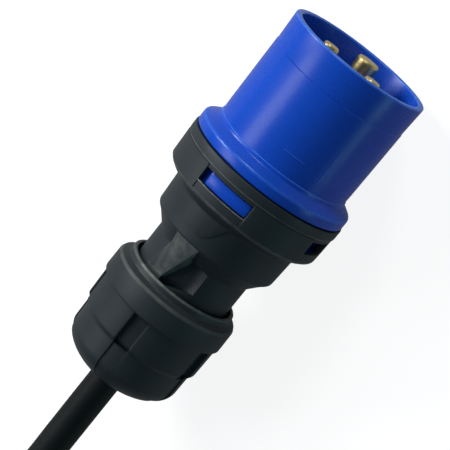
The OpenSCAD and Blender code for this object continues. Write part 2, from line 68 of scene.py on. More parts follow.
Colour = tuple[float, float, float]
FaceTest = Callable[[float, float, float, Vector], bool]


class Body(Enum):
    """The CAD bodies that new pieces ride on."""

    PLUG = "plug_body"
    NUT = "nut"


class Facing(Enum):
    """Which way a face looks, as seen from the plug's axis."""

    ANY = "any"
    OUT = "out"
    IN = "in"
    SIDE = "side"
    RADIAL = "out or in"

    def fits(self, lean: float) -> bool:
        """Say whether a normal with this share away from the axis looks this way.

        Args:
            lean: the share of the normal that points away from the axis.

        Returns:
            True where it looks this way.
        """
        return (self is Facing.ANY or self is Facing.OUT and lean > FACING
                or self is Facing.IN and lean < -FACING
                or self is Facing.SIDE and abs(lean) <= FACING
                or self is Facing.RADIAL and abs(lean) > FACING)


@dataclass(frozen=True)
class Axis:
    """The plug's axis, or a line beside it, in millimetres."""

    rim_x: float
    height: float
    across: float = 0.0

    @classmethod
    def of_plug(cls) -> "Axis":
        """Read the rim's place from the sleeve and the axis's height from the gland nut."""
        nut_low, nut_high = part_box("gland_nut")
        return cls(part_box("sleeve")[1].x / MM, (nut_low.z + nut_high.z) / 2 / MM)

    @classmethod
    def of_pin(cls, node: str) -> "Axis":
        """Read a pin's own axis from its CAD node."""
        low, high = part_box(node)
        return cls(AXIS.rim_x, (low.z + high.z) / 2 / MM, (low.y + high.y) / 2 / MM)

    def point(self, station: float, radius: float, angle: float) -> Vector:
        """Place a point of the plug in the frame.

        Args:
            station: distance behind the rim, in millimetres.
            radius: distance from the axis, in millimetres.
            angle: degrees round the axis from the underside.

        Returns:
            The point in metres.
        """
        turn = math.radians(angle)
        across = self.across + radius * math.sin(turn)
        up = self.height - radius * math.cos(turn)
        return Vector(((self.rim_x - station) * MM, across * MM, up * MM))

    def read(self, place: Vector) -> tuple[float, float, float]:
        """Give a place's station, radius and angle from 0 to 360, the reverse of point.

        Args:
            place: a place in metres.

        Returns:
            The station, the radius and the angle.
        """
        across, up = place.y / MM - self.across, place.z / MM - self.height
        angle = math.degrees(math.atan2(across, -up)) % 360
        return self.rim_x - place.x / MM, math.hypot(across, up), angle

    def centre(self) -> Vector:
        """Give a point on the axis, at the rim, in metres."""
        return self.point(0, 0, 0)


AXIS = Axis.of_plug()


@dataclass(frozen=True)
class Zone:
    """A stretch of the plug that chooses faces or edges by their place.

    Stations and radii lie between two bounds, and angles within half degrees of a centre, which
    may be repeated round the axis.
    """

    front: float = -1.0
    back: float = 120.0
    inner: float = 0.0
    outer: float = 30.0
    centre: float = 0.0
    half: float = 181.0
    facing: Facing = Facing.ANY
    repeats: int = 1

    def __call__(self, station: float, radius: float, angle: float, normal: Vector) -> bool:
        """Say whether a place with a normal lies in the zone.

        Args:
            station: its distance behind the rim.
            radius: its distance from the axis.
            angle: its angle round the axis.
            normal: the normal there.

        Returns:
            Yes or no.
        """
        pitch = 360 / self.repeats
        turn = math.radians(angle)
        lean = normal.y * math.sin(turn) - normal.z * math.cos(turn)
        return (self.front < station < self.back and self.inner < radius < self.outer
                and abs((angle - self.centre + pitch / 2) % pitch - pitch / 2) < self.half
                and self.facing.fits(lean))


# Modelling tools


def deselect() -> None:
    """Leave object mode's selection empty."""
    bpy.ops.object.select_all(action="DESELECT")


def activate(piece: bpy.types.Object) -> None:
    """Make one piece the only selected and active object.

    Args:
        piece: the mesh object.
    """
    deselect()
    piece.select_set(True)
    bpy.context.view_layer.objects.active = piece


def edit(piece: bpy.types.Object, mode: str, action: str | None = "DESELECT") -> None:
    """Go into edit mode on one piece.

    Args:
        piece: the mesh object.
        mode: the kind of element that is selected, VERT, EDGE or FACE.
        action: what becomes of its selection, SELECT or DESELECT, or None to leave it.
    """
    activate(piece)
    bpy.ops.object.mode_set(mode="EDIT")
    bpy.ops.mesh.select_mode(type=mode)
    if action:
        bpy.ops.mesh.select_all(action=action)


def leave_edit() -> None:
    """Go back to object mode."""
    bpy.ops.object.mode_set(mode="OBJECT")


def extrude(push: Vector | tuple[float, float, float]) -> None:
    """Extrude what is selected in edit mode by a push in metres."""
    bpy.ops.mesh.extrude_region_move(TRANSFORM_OT_translate={"value": push})


def tidy(piece: bpy.types.Object) -> None:
    """Merge a piece's doubles and point its faces outwards.

    Args:
        piece: the mesh object.
    """
    edit(piece, "VERT", "SELECT")
    bpy.ops.mesh.remove_doubles(threshold=DOUBLES)
    bpy.ops.mesh.normals_make_consistent(inside=False)
    leave_edit()


def polyline(name: str, points: Sequence[Vector]) -> bpy.types.Object:
    """Draw a chain of edges by extruding one point along a list of places.

    Args:
        name: the new object's name.
        points: the chain's places in metres.

    Returns:
        The mesh object, which holds only edges.
    """
    deselect()
    bpy.ops.mesh.primitive_plane_add(size=MM, location=(0, 0, 0))
    chain = bpy.context.active_object
    chain.name = name
    edit(chain, "VERT", "SELECT")
    bpy.ops.mesh.merge(type="CENTER")
    bpy.ops.transform.translate(value=points[0])
    for before, after in zip(points, points[1:]):
        extrude(after - before)
    leave_edit()
    return chain


def ring(name: str, corners: Sequence[Vector]) -> bpy.types.Object:
    """Draw a closed chain of edges through corners, and stay in edit mode with all selected.

    Args:
        name: the new object's name.
        corners: the outline's places, in order.

    Returns:
        The mesh object.
    """
    piece = polyline(name, [*corners, corners[0]])
    edit(piece, "VERT", "SELECT")
    bpy.ops.mesh.remove_doubles(threshold=DOUBLES)
    return piece


def rounded(corners: Sequence[Corner], arc_steps: int = 3) -> list[tuple[float, float]]:
    """Round the corners of a closed outline.

    Args:
        corners: (station, radius, fillet) of each corner, in order.
        arc_steps: how many edges stand in for each fillet.

    Returns:
        The outline as (station, radius) pairs, with an arc at each filleted corner.
    """
    outline: list[tuple[float, float]] = []
    for index, (station, radius, fillet) in enumerate(corners):
        here = Vector((station, radius))
        if fillet <= 0:
            outline.append((station, radius))
            continue
        before = Vector(corners[index - 1][:2]) - here
        after = Vector(corners[(index + 1) % len(corners)][:2]) - here
        longest = ARC_REACH * min(before.length, after.length)
        reach = min(fillet / math.tan(before.angle(after) / 2), longest)
        start, end = here + before.normalized() * reach, here + after.normalized() * reach
        for step in range(arc_steps + 1):
            share = step / arc_steps
            bend = start.lerp(here, share).lerp(here.lerp(end, share), share)
            outline.append((bend.x, bend.y))
    return outline


def spun(name: str, outline: Sequence[tuple[float, float]], steps: int, first: float = 0.0,
         axis: Axis = AXIS) -> bpy.types.Object:
    """Spin a closed outline of (station, radius) pairs once round an axis.

    Args:
        name: the new piece's name.
        outline: the outline, in order.
        steps: how many columns of faces go round.
        first: the angle of the first column's edge.
        axis: the line that it's spun about.

    Returns:
        The mesh object.
    """
    places = [axis.point(station, radius, first) for station, radius in outline]
    piece = polyline(name, [*places, places[0]])
    edit(piece, "VERT", "SELECT")
    bpy.ops.mesh.spin(steps=steps, angle=math.tau, center=axis.centre(), axis=(1, 0, 0))
    leave_edit()
    tidy(piece)
    return piece


def prism(name: str, corners: Sequence[Vector], push: Vector) -> bpy.types.Object:
    """Fill a flat outline and extrude it into a block.

    Args:
        name: the new piece's name.
        corners: the outline's places, in order.
        push: how far and which way it is extruded.

    Returns:
        The mesh object.
    """
    piece = ring(name, corners)
    bpy.ops.mesh.edge_face_add()
    extrude(push)
    leave_edit()
    tidy(piece)
    return piece


def standing_block(name: str, outline: Sequence[tuple[float, float]], bottom: float, top: float,
                   angle: float) -> bpy.types.Object:
    """Stand a flat-topped block on the plug.

    Args:
        name: the new piece's name.
        outline: (across, station) of each corner, as seen from outside; across grows with angle.
        bottom: its bottom's height over the axis.
        top: its top's height over the axis.
        angle: the side of the plug that it stands on.

    Returns:
        The mesh object.
    """
    corners = [Vector((-station, -across, bottom)) * MM for across, station in outline]
    return turned_into_place(prism(name, corners, Vector((0, 0, top - bottom)) * MM), angle)


def turned_into_place(piece: bpy.types.Object, angle: float) -> bpy.types.Object:
    """Turn a block that was built upright at the origin to its side of the plug.

    Args:
        piece: the block, upright at the origin.
        angle: the side of the plug that it stands on.

    Returns:
        The same block.
    """
    piece.rotation_euler.x = math.radians(angle + 180)
    piece.location = AXIS.centre()
    apply_place(piece)
    return piece


def combine(piece: bpy.types.Object, other: bpy.types.Object, operation: str) -> None:
    """Join, cut or intersect a piece with another one, which is used up.

    Args:
        piece: the piece that stays.
        other: the closed piece that is used up.
        operation: UNION, DIFFERENCE or INTERSECT.
    """
    modifier = piece.modifiers.new(operation.title(), "BOOLEAN")
    modifier.operation, modifier.object, modifier.solver = operation, other, "EXACT"
    apply_modifiers(piece)
    bpy.data.objects.remove(other, do_unlink=True)


def select_faces(piece: bpy.types.Object, test: FaceTest) -> int:
    """Select a piece's faces by their place on the plug, in object mode.

    Args:
        piece: the mesh object.
        test: says yes or no to a face's station, radius, angle and normal.

    Returns:
        How many faces are selected.
    """
    mesh = piece.data
    for elements in (mesh.polygons, mesh.edges, mesh.vertices):
        elements.foreach_set("select", [False] * len(elements))
    chosen = [face for face in mesh.polygons if test(*AXIS.read(face.center), face.normal)]
    for face in chosen:
        face.select = True
    return len(chosen)


def raise_faces(piece: bpy.types.Object, test: FaceTest, share: float) -> None:
    """Extrude chosen faces and scale them towards or away from the plug's axis.

    Args:
        piece: the mesh object.
        test: chooses the faces.
        share: the new distance from the axis over the old one.
    """
    if not select_faces(piece, test):
        raise ValueError(f"{piece.name}: no face to raise")
    edit(piece, "FACE", None)
    extrude((0, 0, 0))
    bpy.ops.transform.resize(value=(1, share, share), center_override=AXIS.centre())
    leave_edit()


def open_window(piece: bpy.types.Object, zone: Zone) -> None:
    """Cut a window through a shell and wall its sides.

    Args:
        piece: the shell, with face rows that end at the window's front and back.
        zone: the window.
    """
    select_faces(piece, zone)
    edit(piece, "FACE", None)
    bpy.ops.mesh.delete(type="FACE")
    bpy.ops.mesh.select_mode(type="EDGE")
    bpy.ops.mesh.select_non_manifold(extend=False, use_wire=False, use_multi_face=False,
                                     use_non_contiguous=False, use_verts=False)
    bpy.ops.mesh.bridge_edge_loops()
    leave_edit()


def highlight_layer(piece: bpy.types.Object) -> bpy.types.Attribute:
    """Give a piece's face attribute that says how strongly each face is painted as a highlight."""
    attributes = piece.data.attributes
    return attributes.get("highlight") or attributes.new("highlight", "FLOAT", "FACE")


# Painted highlights: marked faces are later mixed towards a lighter colour.
def paint_highlight(piece: bpy.types.Object, test: FaceTest, highlight: float) -> None:
    """Mark chosen faces as painted highlights, for the finish to read.

    Args:
        piece: the mesh object.
        test: chooses the faces.
        highlight: how strongly they are painted as highlights, from 0 to 1.
    """
    layer = highlight_layer(piece)
    for face in piece.data.polygons:
        if test(*AXIS.read(face.center), face.normal):
            layer.data[face.index].value = highlight


def soften(piece: bpy.types.Object, test: FaceTest, width: float, sharpest: float = 40.0,
           segments: int = 2, highlight: float = 0.0) -> None:
    """Bevel the sharp edges whose middles lie in a chosen place, and give the new faces a share of
    painted highlight.

    Args:
        piece: the mesh object.
        test: chooses edges by the place of their middle; it is given their mean normal.
        width: the bevel's width in millimetres.
        sharpest: only edges that bend by more degrees than this are taken.
        segments: how many faces go across the bevel.
        highlight: how strongly the new faces are painted as highlights.
    """
    highlight_layer(piece)
    mesh = piece.data
    faces_of: dict[tuple[int, int], list[Vector]] = {}
    for face in mesh.polygons:
        for key in face.edge_keys:
            faces_of.setdefault(key, []).append(face.normal.copy())
    edit(piece, "EDGE")
    leave_edit()
    limit = math.radians(sharpest)
    for edge in mesh.edges:
        normals = faces_of.get(tuple(sorted(edge.vertices)), [])
        if len(normals) != 2 or normals[0].angle(normals[1], 0) < limit:
            continue
        middle = (mesh.vertices[edge.vertices[0]].co + mesh.vertices[edge.vertices[1]].co) / 2
        edge.select = test(*AXIS.read(middle), (normals[0] + normals[1]).normalized())
    edit(piece, "EDGE", None)
    bpy.ops.mesh.bevel(offset=width * MM, segments=segments, affect="EDGES", clamp_overlap=True)
    leave_edit()
    layer = highlight_layer(piece)
    for face in piece.data.polygons:
        if face.select:
            layer.data[face.index].value = highlight


def smooth(piece: bpy.types.Object, angle: float = 35.0) -> None:
    """Shade a piece smooth, apart from edges sharper than an angle in degrees."""
    activate(piece)
    bpy.ops.object.shade_smooth_by_angle(angle=math.radians(angle), keep_sharp_edges=False)


def apply_place(piece: bpy.types.Object) -> None:
    """Put a piece's place, turn and size into its mesh."""
    activate(piece)
    bpy.ops.object.transform_apply(location=True, rotation=True, scale=True)


def apply_modifiers(piece: bpy.types.Object) -> None:
    """Apply all of a piece's modifiers in order.

    Args:
        piece: the mesh object.
    """
    activate(piece)
    for modifier in list(piece.modifiers):
        bpy.ops.object.modifier_apply(modifier=modifier.name)


def hand_in(piece: bpy.types.Object, finishes: "Finishes", slot: str, *nodes: str,
            body: Body = Body.PLUG) -> None:
    """Dress a finished piece, let it ride on its body and report it.

    Args:
        piece: the finished mesh object.
        finishes: the plug's finishes.
        slot: the record's material slot.
        nodes: the CAD nodes that it stands for.
        body: the CAD body that it moves with.
    """
    piece.data.materials.clear()
    piece.data.materials.append(finishes.slots[slot])
    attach(piece, body.value)
    if nodes:
        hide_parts(*nodes)
    LOG.info("%s: %d faces on %s", piece.name, len(piece.data.polygons), body.value)


# Shader groups and finishes


def feed(tree: bpy.types.NodeTree, socket: bpy.types.NodeSocket, value: object) -> None:
    """Link a socket to another one, or give it a number or a colour.

    Args:
        tree: the node tree.
        socket: the input to fill.
        value: an output socket, a number or a colour of three parts.
    """
    if isinstance(value, bpy.types.NodeSocket):
        tree.links.new(value, socket)
    else:
        socket.default_value = (*value, 1) if isinstance(value, tuple) else value


def new_group(name: str, inputs: dict[str, float | Colour | None], outputs: Sequence[str],
              ) -> tuple[bpy.types.NodeTree, dict[str, bpy.types.NodeSocket], bpy.types.Node]:
    """Start a shader node group with named sockets.

    Args:
        name: the group's name.
        inputs: each socket's default: a number, a colour, or None for a vector.
        outputs: the output sockets; Colour is a colour and the others are numbers.

    Returns:
        The group, its input sockets by name and its output node.
    """
    group = bpy.data.node_groups.new(name, "ShaderNodeTree")
    for socket, value in inputs.items():
        kind = "Vector" if value is None else "Color" if isinstance(value, tuple) else "Float"
        made = group.interface.new_socket(socket, in_out="INPUT", socket_type="NodeSocket" + kind)
        if value is not None:
            made.default_value = (*value, 1) if isinstance(value, tuple) else value
    for socket in outputs:
        kind = "Color" if socket == "Colour" else "Float"
        group.interface.new_socket(socket, in_out="OUTPUT", socket_type="NodeSocket" + kind)
    given = group.nodes.new("NodeGroupInput")
    sockets = {socket: given.outputs[socket] for socket in inputs}
    return group, sockets, group.nodes.new("NodeGroupOutput")


def math_node(tree: bpy.types.NodeTree, operation: str, first: object,
              second: object = 0.5) -> bpy.types.NodeSocket:
    """Add a Math node whose inputs are sockets or numbers, and give its output.

    Args:
        tree: the node tree.
        operation: what the node works out.
        first: its first input.
        second: its second input.

    Returns:
        The output socket.
    """
    node = tree.nodes.new("ShaderNodeMath")
    node.operation = operation
    feed(tree, node.inputs[0], first)
    feed(tree, node.inputs[1], second)
    return node.outputs[0]


def mix_node(tree: bpy.types.NodeTree, factor: bpy.types.NodeSocket, first: object,
             second: object) -> bpy.types.NodeSocket:
    """Mix two colours, each a socket or a colour, and give the result.

    Args:
        tree: the node tree.
        factor: the share of the second colour.
        first: the first colour.
        second: the second colour.

    Returns:
        The output socket.
    """
    node = tree.nodes.new("ShaderNodeMix")
    node.data_type = "RGBA"
    for socket, value in (("Factor", factor), ("A", first), ("B", second)):
        feed(tree, node.inputs[socket], value)
    return node.outputs["Result"]


def scale_node(tree: bpy.types.NodeTree, colour: bpy.types.NodeSocket,
               scale: bpy.types.NodeSocket) -> bpy.types.NodeSocket:
    """Make a colour lighter or darker by a scale, and give the result.

    Args:
        tree: the node tree.
        colour: the colour to change.
        scale: how much lighter it gets, or darker below 1.

    Returns:
        The output socket.
    """
    node = tree.nodes.new("ShaderNodeVectorMath")
    node.operation = "SCALE"
    feed(tree, node.inputs[0], colour)
    feed(tree, node.inputs["Scale"], scale)
    return node.outputs[0]


def noise_node(tree: bpy.types.NodeTree, vector: bpy.types.NodeSocket, scale: float,
               detail: float = 3.0, rough: float = 0.5) -> bpy.types.NodeSocket:
    """Add a Noise Texture and give its value.

    Args:
        tree: the node tree.
        vector: the place that it reads.
        scale: how fine the noise is.
        detail: how many layers it has.
        rough: how strong the finer layers are.

    Returns:
        The output socket.
    """
    node = tree.nodes.new("ShaderNodeTexNoise")
    for socket, value in (("Vector", vector), ("Scale", scale), ("Detail", detail),
                          ("Roughness", rough)):
        feed(tree, node.inputs[socket], value)
    return node.outputs["Fac"]


def build_moulded_group() -> bpy.types.NodeTree:
    """Build the moulded surface: faint clouds of shade, uneven gloss, grain and painted highlights.

    Returns:
        The shader group.
    """
    group, given, put = new_group(
        "MouldedSurface",
        {"Vector": None, "Colour": (0.5, 0.5, 0.5), "Shade": 0.1, "Roughness": 0.4,
         "Unevenness": 0.1, "Grain": 1.0, "Rubbed": (0.7, 0.7, 0.7), "Highlight": 0.0},
        ("Colour", "Roughness", "Height"))
    clouds = noise_node(group, given["Vector"], 55)
    specks = noise_node(group, given["Vector"], 1400, 2)
    grain = noise_node(group, given["Vector"], 2600, 3, 0.65)
    # Painted highlight: the faces' highlight marks, broken into patches, mix the colour towards a
    # lighter one.
    patches = noise_node(group, given["Vector"], 420, 4, 0.6)
    shade = math_node(group, "MULTIPLY", math_node(group, "SUBTRACT", clouds, 0.5), given["Shade"])
    scale = math_node(group, "ADD", math_node(group, "MULTIPLY", shade, 2.0), 1.0)
    patches = math_node(group, "ADD", math_node(group, "MULTIPLY", patches, 1.6), -0.1)
    highlit = math_node(group, "MULTIPLY", given["Highlight"], patches)
    colour = mix_node(group, highlit, scale_node(group, given["Colour"], scale), given["Rubbed"])
    both = math_node(group, "SUBTRACT", math_node(group, "ADD", clouds, specks), 1.0)
    uneven = math_node(group, "MULTIPLY", both, given["Unevenness"])
    feed(group, put.inputs["Colour"], colour)
    feed(group, put.inputs["Roughness"], math_node(group, "ADD", given["Roughness"], uneven))
    feed(group, put.inputs["Height"], math_node(group, "MULTIPLY", grain, given["Grain"]))
    return group


def build_turned_group() -> bpy.types.NodeTree:
    """Build the turned metal: fine rings along the plug's axis and a faint tarnish.

    Returns:
        The shader group.
    """
    group, given, put = new_group(
        "TurnedMetal", {"Vector": None, "Colour": (0.8, 0.6, 0.3), "Tarnish": (0.3, 0.2, 0.1),
                        "Roughness": 0.25}, ("Colour", "Roughness", "Height"))
    stretch = group.nodes.new("ShaderNodeMapping")
    stretch.inputs["Scale"].default_value = (9000, 120, 120)
    feed(group, stretch.inputs["Vector"], given["Vector"])
    rings = noise_node(group, stretch.outputs[0], 1.0, 2)
    clouds = noise_node(group, given["Vector"], 240, 4, 0.6)
    dulled = math_node(group, "MULTIPLY", clouds, 0.55)
    uneven = math_node(group, "MULTIPLY", rings, 0.15)
    feed(group, put.inputs["Colour"], mix_node(group, dulled, given["Colour"], given["Tarnish"]))
    feed(group, put.inputs["Roughness"], math_node(group, "ADD", given["Roughness"], uneven))
    feed(group, put.inputs["Height"], rings)
    return group


def build_woven_group() -> bpy.types.NodeTree:
    """Build the woven strap: crossing ribs that give its height, with painted shade in their
    hollows and painted highlight on their crowns.

    Returns:
        The shader group.
    """
    group, given, put = new_group(
        "WovenStrap", {"Vector": None, "Colour": (0.02, 0.02, 0.02), "Thread": 1.1},
        ("Colour", "Height"))
    split = group.nodes.new("ShaderNodeSeparateXYZ")
    feed(group, split.inputs[0], given["Vector"])
    turns = math_node(group, "DIVIDE", math.tau / MM, given["Thread"])
    around = math_node(group, "ADD", split.outputs["Y"], split.outputs["Z"])
    warp, weft = (math_node(group, "SINE", math_node(group, "MULTIPLY", way, turns))
                  for way in (split.outputs["X"], around))
    height = math_node(group, "MULTIPLY", warp, weft)
    fuzz = noise_node(group, given["Vector"], 1800)
    # Painted shade and highlight: the colour is darker where the ribs sink and lighter on their
    # crowns, following the bump.
    scale = math_node(group, "ADD", math_node(group, "MULTIPLY", height, 0.35), 1.0)
    feed(group, put.inputs["Height"], math_node(group, "ADD", height, fuzz))
    feed(group, put.inputs["Colour"], scale_node(group, given["Colour"], scale))
    return group


@dataclass(frozen=True)
class Finish:
    """What all finishes share: a surface group on Object coordinates that feeds the shader."""

    name: str
    colour: Colour

    def start(self, group: bpy.types.NodeTree, depth: float, shader_values: dict[str, float],
              **values: float | Colour) -> tuple[bpy.types.Material, bpy.types.Node]:
        """Make a material with the group in it.

        Args:
            group: the surface group.
            depth: the bump's depth in millimetres.
            shader_values: numbers for the shader's sockets.
            values: values for the group's sockets, besides its colour.

        Returns:
            The material and its surface group's node.
        """
        material = bpy.data.materials.new(self.name)
        material.use_nodes = True
        tree = material.node_tree
        shader = tree.nodes["Principled BSDF"]
        place = tree.nodes.new("ShaderNodeTexCoord")
        surface = tree.nodes.new("ShaderNodeGroup")
        surface.node_tree = group
        bump = tree.nodes.new("ShaderNodeBump")
        feed(tree, bump.inputs["Distance"], depth * MM)
        feed(tree, surface.inputs["Vector"], place.outputs["Object"])
        for socket, value in {"Colour": self.colour, **values}.items():
            feed(tree, surface.inputs[socket], value)
        for socket, value in shader_values.items():
            feed(tree, shader.inputs[socket], value)
        feed(tree, shader.inputs["Base Color"], surface.outputs["Colour"])
        if "Roughness" in surface.outputs:
            feed(tree, shader.inputs["Roughness"], surface.outputs["Roughness"])
        feed(tree, bump.inputs["Height"], surface.outputs["Height"])
        feed(tree, shader.inputs["Normal"], bump.outputs["Normal"])
        return material, surface


@dataclass(frozen=True)
class Woven(Finish):
    """A woven strap's finish."""

    thread: float = 1.1
    depth: float = 0.15
    roughness: float = 0.85
    gloss: float = 0.2

    def build(self, group: bpy.types.NodeTree) -> bpy.types.Material:
        """Make the material from the woven strap group, and give it."""
        shine = {"Roughness": self.roughness, "Specular IOR Level": self.gloss}
        return self.start(group, self.depth, shine, Thread=self.thread)[0]


@dataclass(frozen=True)
class Moulded(Finish):
    """A moulded plastic or rubber finish, with a second colour in a stripe along a core."""

    roughness: float
    shade: float = 0.12
    unevenness: float = 0.08
    grain: float = 0.5
    depth: float = 0.02
    gloss: float = 0.5
    # The lighter colour that painted highlights on marked faces are mixed towards.
    highlights: Colour = (0.2, 0.2, 0.2)
    stripe: Colour | None = None
    stripe_twist: float = 9.0
    stripe_start: float = 0.6

    def build(self, group: bpy.types.NodeTree) -> bpy.types.Material:
        """Make the material.

        Args:
            group: the moulded surface group.

        Returns:
            The material.
        """
        material, surface = self.start(
            group, self.depth, {"Specular IOR Level": self.gloss}, Shade=self.shade,
            Roughness=self.roughness, Unevenness=self.unevenness, Grain=self.grain,
            Rubbed=self.highlights)
        tree = material.node_tree
        # Each face's share of painted highlight, read from its face attribute.
        highlight = tree.nodes.new("ShaderNodeAttribute")
        highlight.attribute_name = "highlight"
        feed(tree, surface.inputs["Highlight"], highlight.outputs["Fac"])
        if self.stripe:
            feed(tree, surface.inputs["Colour"], self.striped(tree))
        return material

    def striped(self, tree: bpy.types.NodeTree) -> bpy.types.NodeSocket:
        """Lay the second colour on one side of the core, which twists along its UV map.

        Args:
            tree: the material's node tree.

        Returns:
            The colour's output socket.
        """
        place = tree.nodes.new("ShaderNodeTexCoord")
        split = tree.nodes.new("ShaderNodeSeparateXYZ")
        feed(tree, split.inputs[0], place.outputs["UV"])
        twist = math_node(tree, "MULTIPLY", split.outputs["X"], self.stripe_twist)
        turned = math_node(tree, "FRACT", math_node(tree, "ADD", split.outputs["Y"], twist))
        side = math_node(tree, "GREATER_THAN", turned, self.stripe_start)
        return mix_node(tree, side, self.colour, self.stripe)


@dataclass(frozen=True)
class Metal(Finish):
    """A turned or plated metal finish."""

    tarnish: Colour
    roughness: float
    depth: float = 0.01

    def build(self, group: bpy.types.NodeTree) -> bpy.types.Material:
        """Make the material from the turned metal group, and give it."""
        return self.start(group, self.depth, {"Metallic": 1.0}, Tarnish=self.tarnish,
                          Roughness=self.roughness)[0]


@dataclass
class Finishes:
    """All finishes of the plug, built once."""

    slots: dict[str, bpy.types.Material] = field(default_factory=dict)

    def build(self) -> None:
        """Build the shader groups and one material for each of the record's slots."""
        moulded, turned, woven = build_moulded_group(), build_turned_group(), build_woven_group()
        for finish, group in (
                # The shroud's and the housing's second, lighter colours are the colours of their
                # painted highlights.
                (Moulded("shroud_plastic", (0.005, 0.07, 0.56), 0.27, 0.1, 0.03, 0.1, gloss=0.3,
                         highlights=(0.05, 0.22, 0.9)), moulded),
                (Moulded("housing_plastic", (0.022, 0.03, 0.034), 0.48, 0.25, 0.1, 0.8, gloss=0.3,
                         highlights=(0.2, 0.21, 0.2)), moulded),
                (Moulded("lead_rubber", (0.007, 0.009, 0.0095), 0.55, 0.2, 0.1, 1.0, 0.03,
                         gloss=0.2), moulded),
                (Moulded("seal_rubber", (0.02, 0.02, 0.02), 0.6), moulded),
                (Moulded("clamp_plastic", (0.5, 0.5, 0.47), 0.45), moulded),
                (Moulded("core_brown", (0.12, 0.04, 0.015), 0.35), moulded),
                (Moulded("core_blue", (0.02, 0.13, 0.45), 0.35), moulded),
                (Moulded("core_green_yellow", (0.03, 0.22, 0.04), 0.35,
                         stripe=(0.75, 0.55, 0.02)), moulded),
                (Metal("contact_brass", (1.0, 0.8, 0.36), (0.5, 0.31, 0.09), 0.24), turned),
                (Metal("screw_steel", (0.6, 0.6, 0.58), (0.35, 0.34, 0.3), 0.3), turned),
                (Metal("ferrule_metal", (0.72, 0.72, 0.7), (0.5, 0.48, 0.44), 0.3), turned),
                (Woven("tie_fabric", (0.014, 0.014, 0.015)), woven)):
            self.slots[finish.name] = finish.build(group)

    def dress_frame(self) -> None:
        """Give every CAD node the material of its slot in the record."""
        for part in frame["record"]["subparts"]:
            node = frame["nodes"][part["node"]]
            node.data.materials.clear()
            node.data.materials.append(self.slots[part["material_slot"]])


# Camera, light and floor


@dataclass(frozen=True)
class Light:
    """A soft square light: its way from the plug, as shares of the view's right, top and back."""

    name: str
    way: tuple[float, float, float]
    size: float
    power: float
    colour: Colour


@dataclass
class Studio:
    """Camera, soft lights and a pale floor."""

    lens: float = 160.0
    sensor: float = 36.0
    aim: tuple[float, float, float] = (-2.15, 0.77, 25.5)
    distance: float = 561.94
    azimuth: float = 47.22
    elevation: float = 69.155
    roll: float = -96.63
    floor_white: float = 0.3
    floor_glow: float = 0.88
    floor_spill: float = 0.12
    floor_size: float = 6.0
    world_light: float = 0.13
    world_colour: Colour = (0.55, 0.86, 1)
    lights: tuple[Light, ...] = (
        Light("key", (-0.83, 0.86, 0.4), 0.4, 11.5, (1.0, 1.0, 0.97)),
        Light("strip", (-1.08, 0.27, 0.56), 0.45, 3.4, (0.9, 0.9, 1.0)),
        Light("fill", (0.9, -0.75, 0.25), 0.6, 2.6, (0.45, 0.95, 1.0)),
        Light("front", (0.28, 1.05, 0.74), 0.25, 5.0, (1.0, 0.96, 0.88)))
    right: Vector = field(init=False)
    top: Vector = field(init=False)
    back: Vector = field(init=False)

    def build_camera(self) -> None:
        """Make the camera, which looks down on the plug from its shroud's side."""
        turn, rise = math.radians(self.azimuth), math.radians(self.elevation)
        back = Vector((math.sin(turn) * math.cos(rise), -math.cos(turn) * math.cos(rise),
                       math.sin(rise)))
        level = Vector((math.cos(turn), math.sin(turn), 0))
        upward = back.cross(level)
        roll = math.radians(self.roll)
        self.right = level * math.cos(roll) + upward * math.sin(roll)
        self.top, self.back = back.cross(self.right), back
        data = bpy.data.cameras.new("camera")
        data.lens, data.sensor_width = self.lens, self.sensor
        camera = bpy.data.objects.new("camera", data)
        bpy.context.scene.collection.objects.link(camera)
        camera.matrix_world = Matrix((self.right, self.top, back)).transposed().to_4x4()
        camera.location = (Vector(self.aim) + back * self.distance) * MM
        bpy.context.scene.camera = camera

    def build_light(self, light: Light) -> None:
        """Add a light aimed at the plug.

        Args:
            light: its place, size and colour.
        """
        data = bpy.data.lights.new(light.name, "AREA")
        data.size, data.energy, data.color = light.size, light.power, light.colour
        lamp = bpy.data.objects.new(light.name, data)
        bpy.context.scene.collection.objects.link(lamp)
        right, top, back = light.way
        way = self.right * right + self.top * top + self.back * back
        lamp.location = Vector(self.aim) * MM + way
        lamp.rotation_mode = "QUATERNION"
        lamp.rotation_quaternion = way.to_track_quat("Z", "Y")

    def build_floor(self) -> None:
        """Lay a plain white floor that glows a little, as a light table does."""
        deselect()
        bpy.ops.mesh.primitive_plane_add(size=self.floor_size, location=(0, 0, 0))
        floor = bpy.context.active_object
        floor.name = "floor"
        material = bpy.data.materials.new("floor")
        material.use_nodes = True
        tree = material.node_tree
        path = tree.nodes.new("ShaderNodeLightPath")
        seen = math_node(tree, "MULTIPLY", path.outputs["Is Camera Ray"],
                         self.floor_glow - self.floor_spill)
        glow = math_node(tree, "ADD", seen, self.floor_spill)
        for socket, value in (("Base Color", (self.floor_white,) * 3), ("Roughness", 0.9),
                              ("Specular IOR Level", 0.0), ("Emission Color", (1, 1, 1)),
                              ("Emission Strength", glow)):
            feed(tree, tree.nodes["Principled BSDF"].inputs[socket], value)
        floor.data.materials.append(material)

    def build(self) -> None:
        """Make the camera, the lights, the world and the floor."""
        self.build_camera()
        for light in self.lights:
            self.build_light(light)
        scene = bpy.context.scene
        scene.world = bpy.data.worlds.new("studio")
        scene.world.use_nodes = True
        tree = scene.world.node_tree
        feed(tree, tree.nodes["Background"].inputs["Color"], self.world_colour)
        feed(tree, tree.nodes["Background"].inputs["Strength"], self.world_light)
        scene.view_settings.view_transform = "Standard"
        self.build_floor()


# The lead and its hank


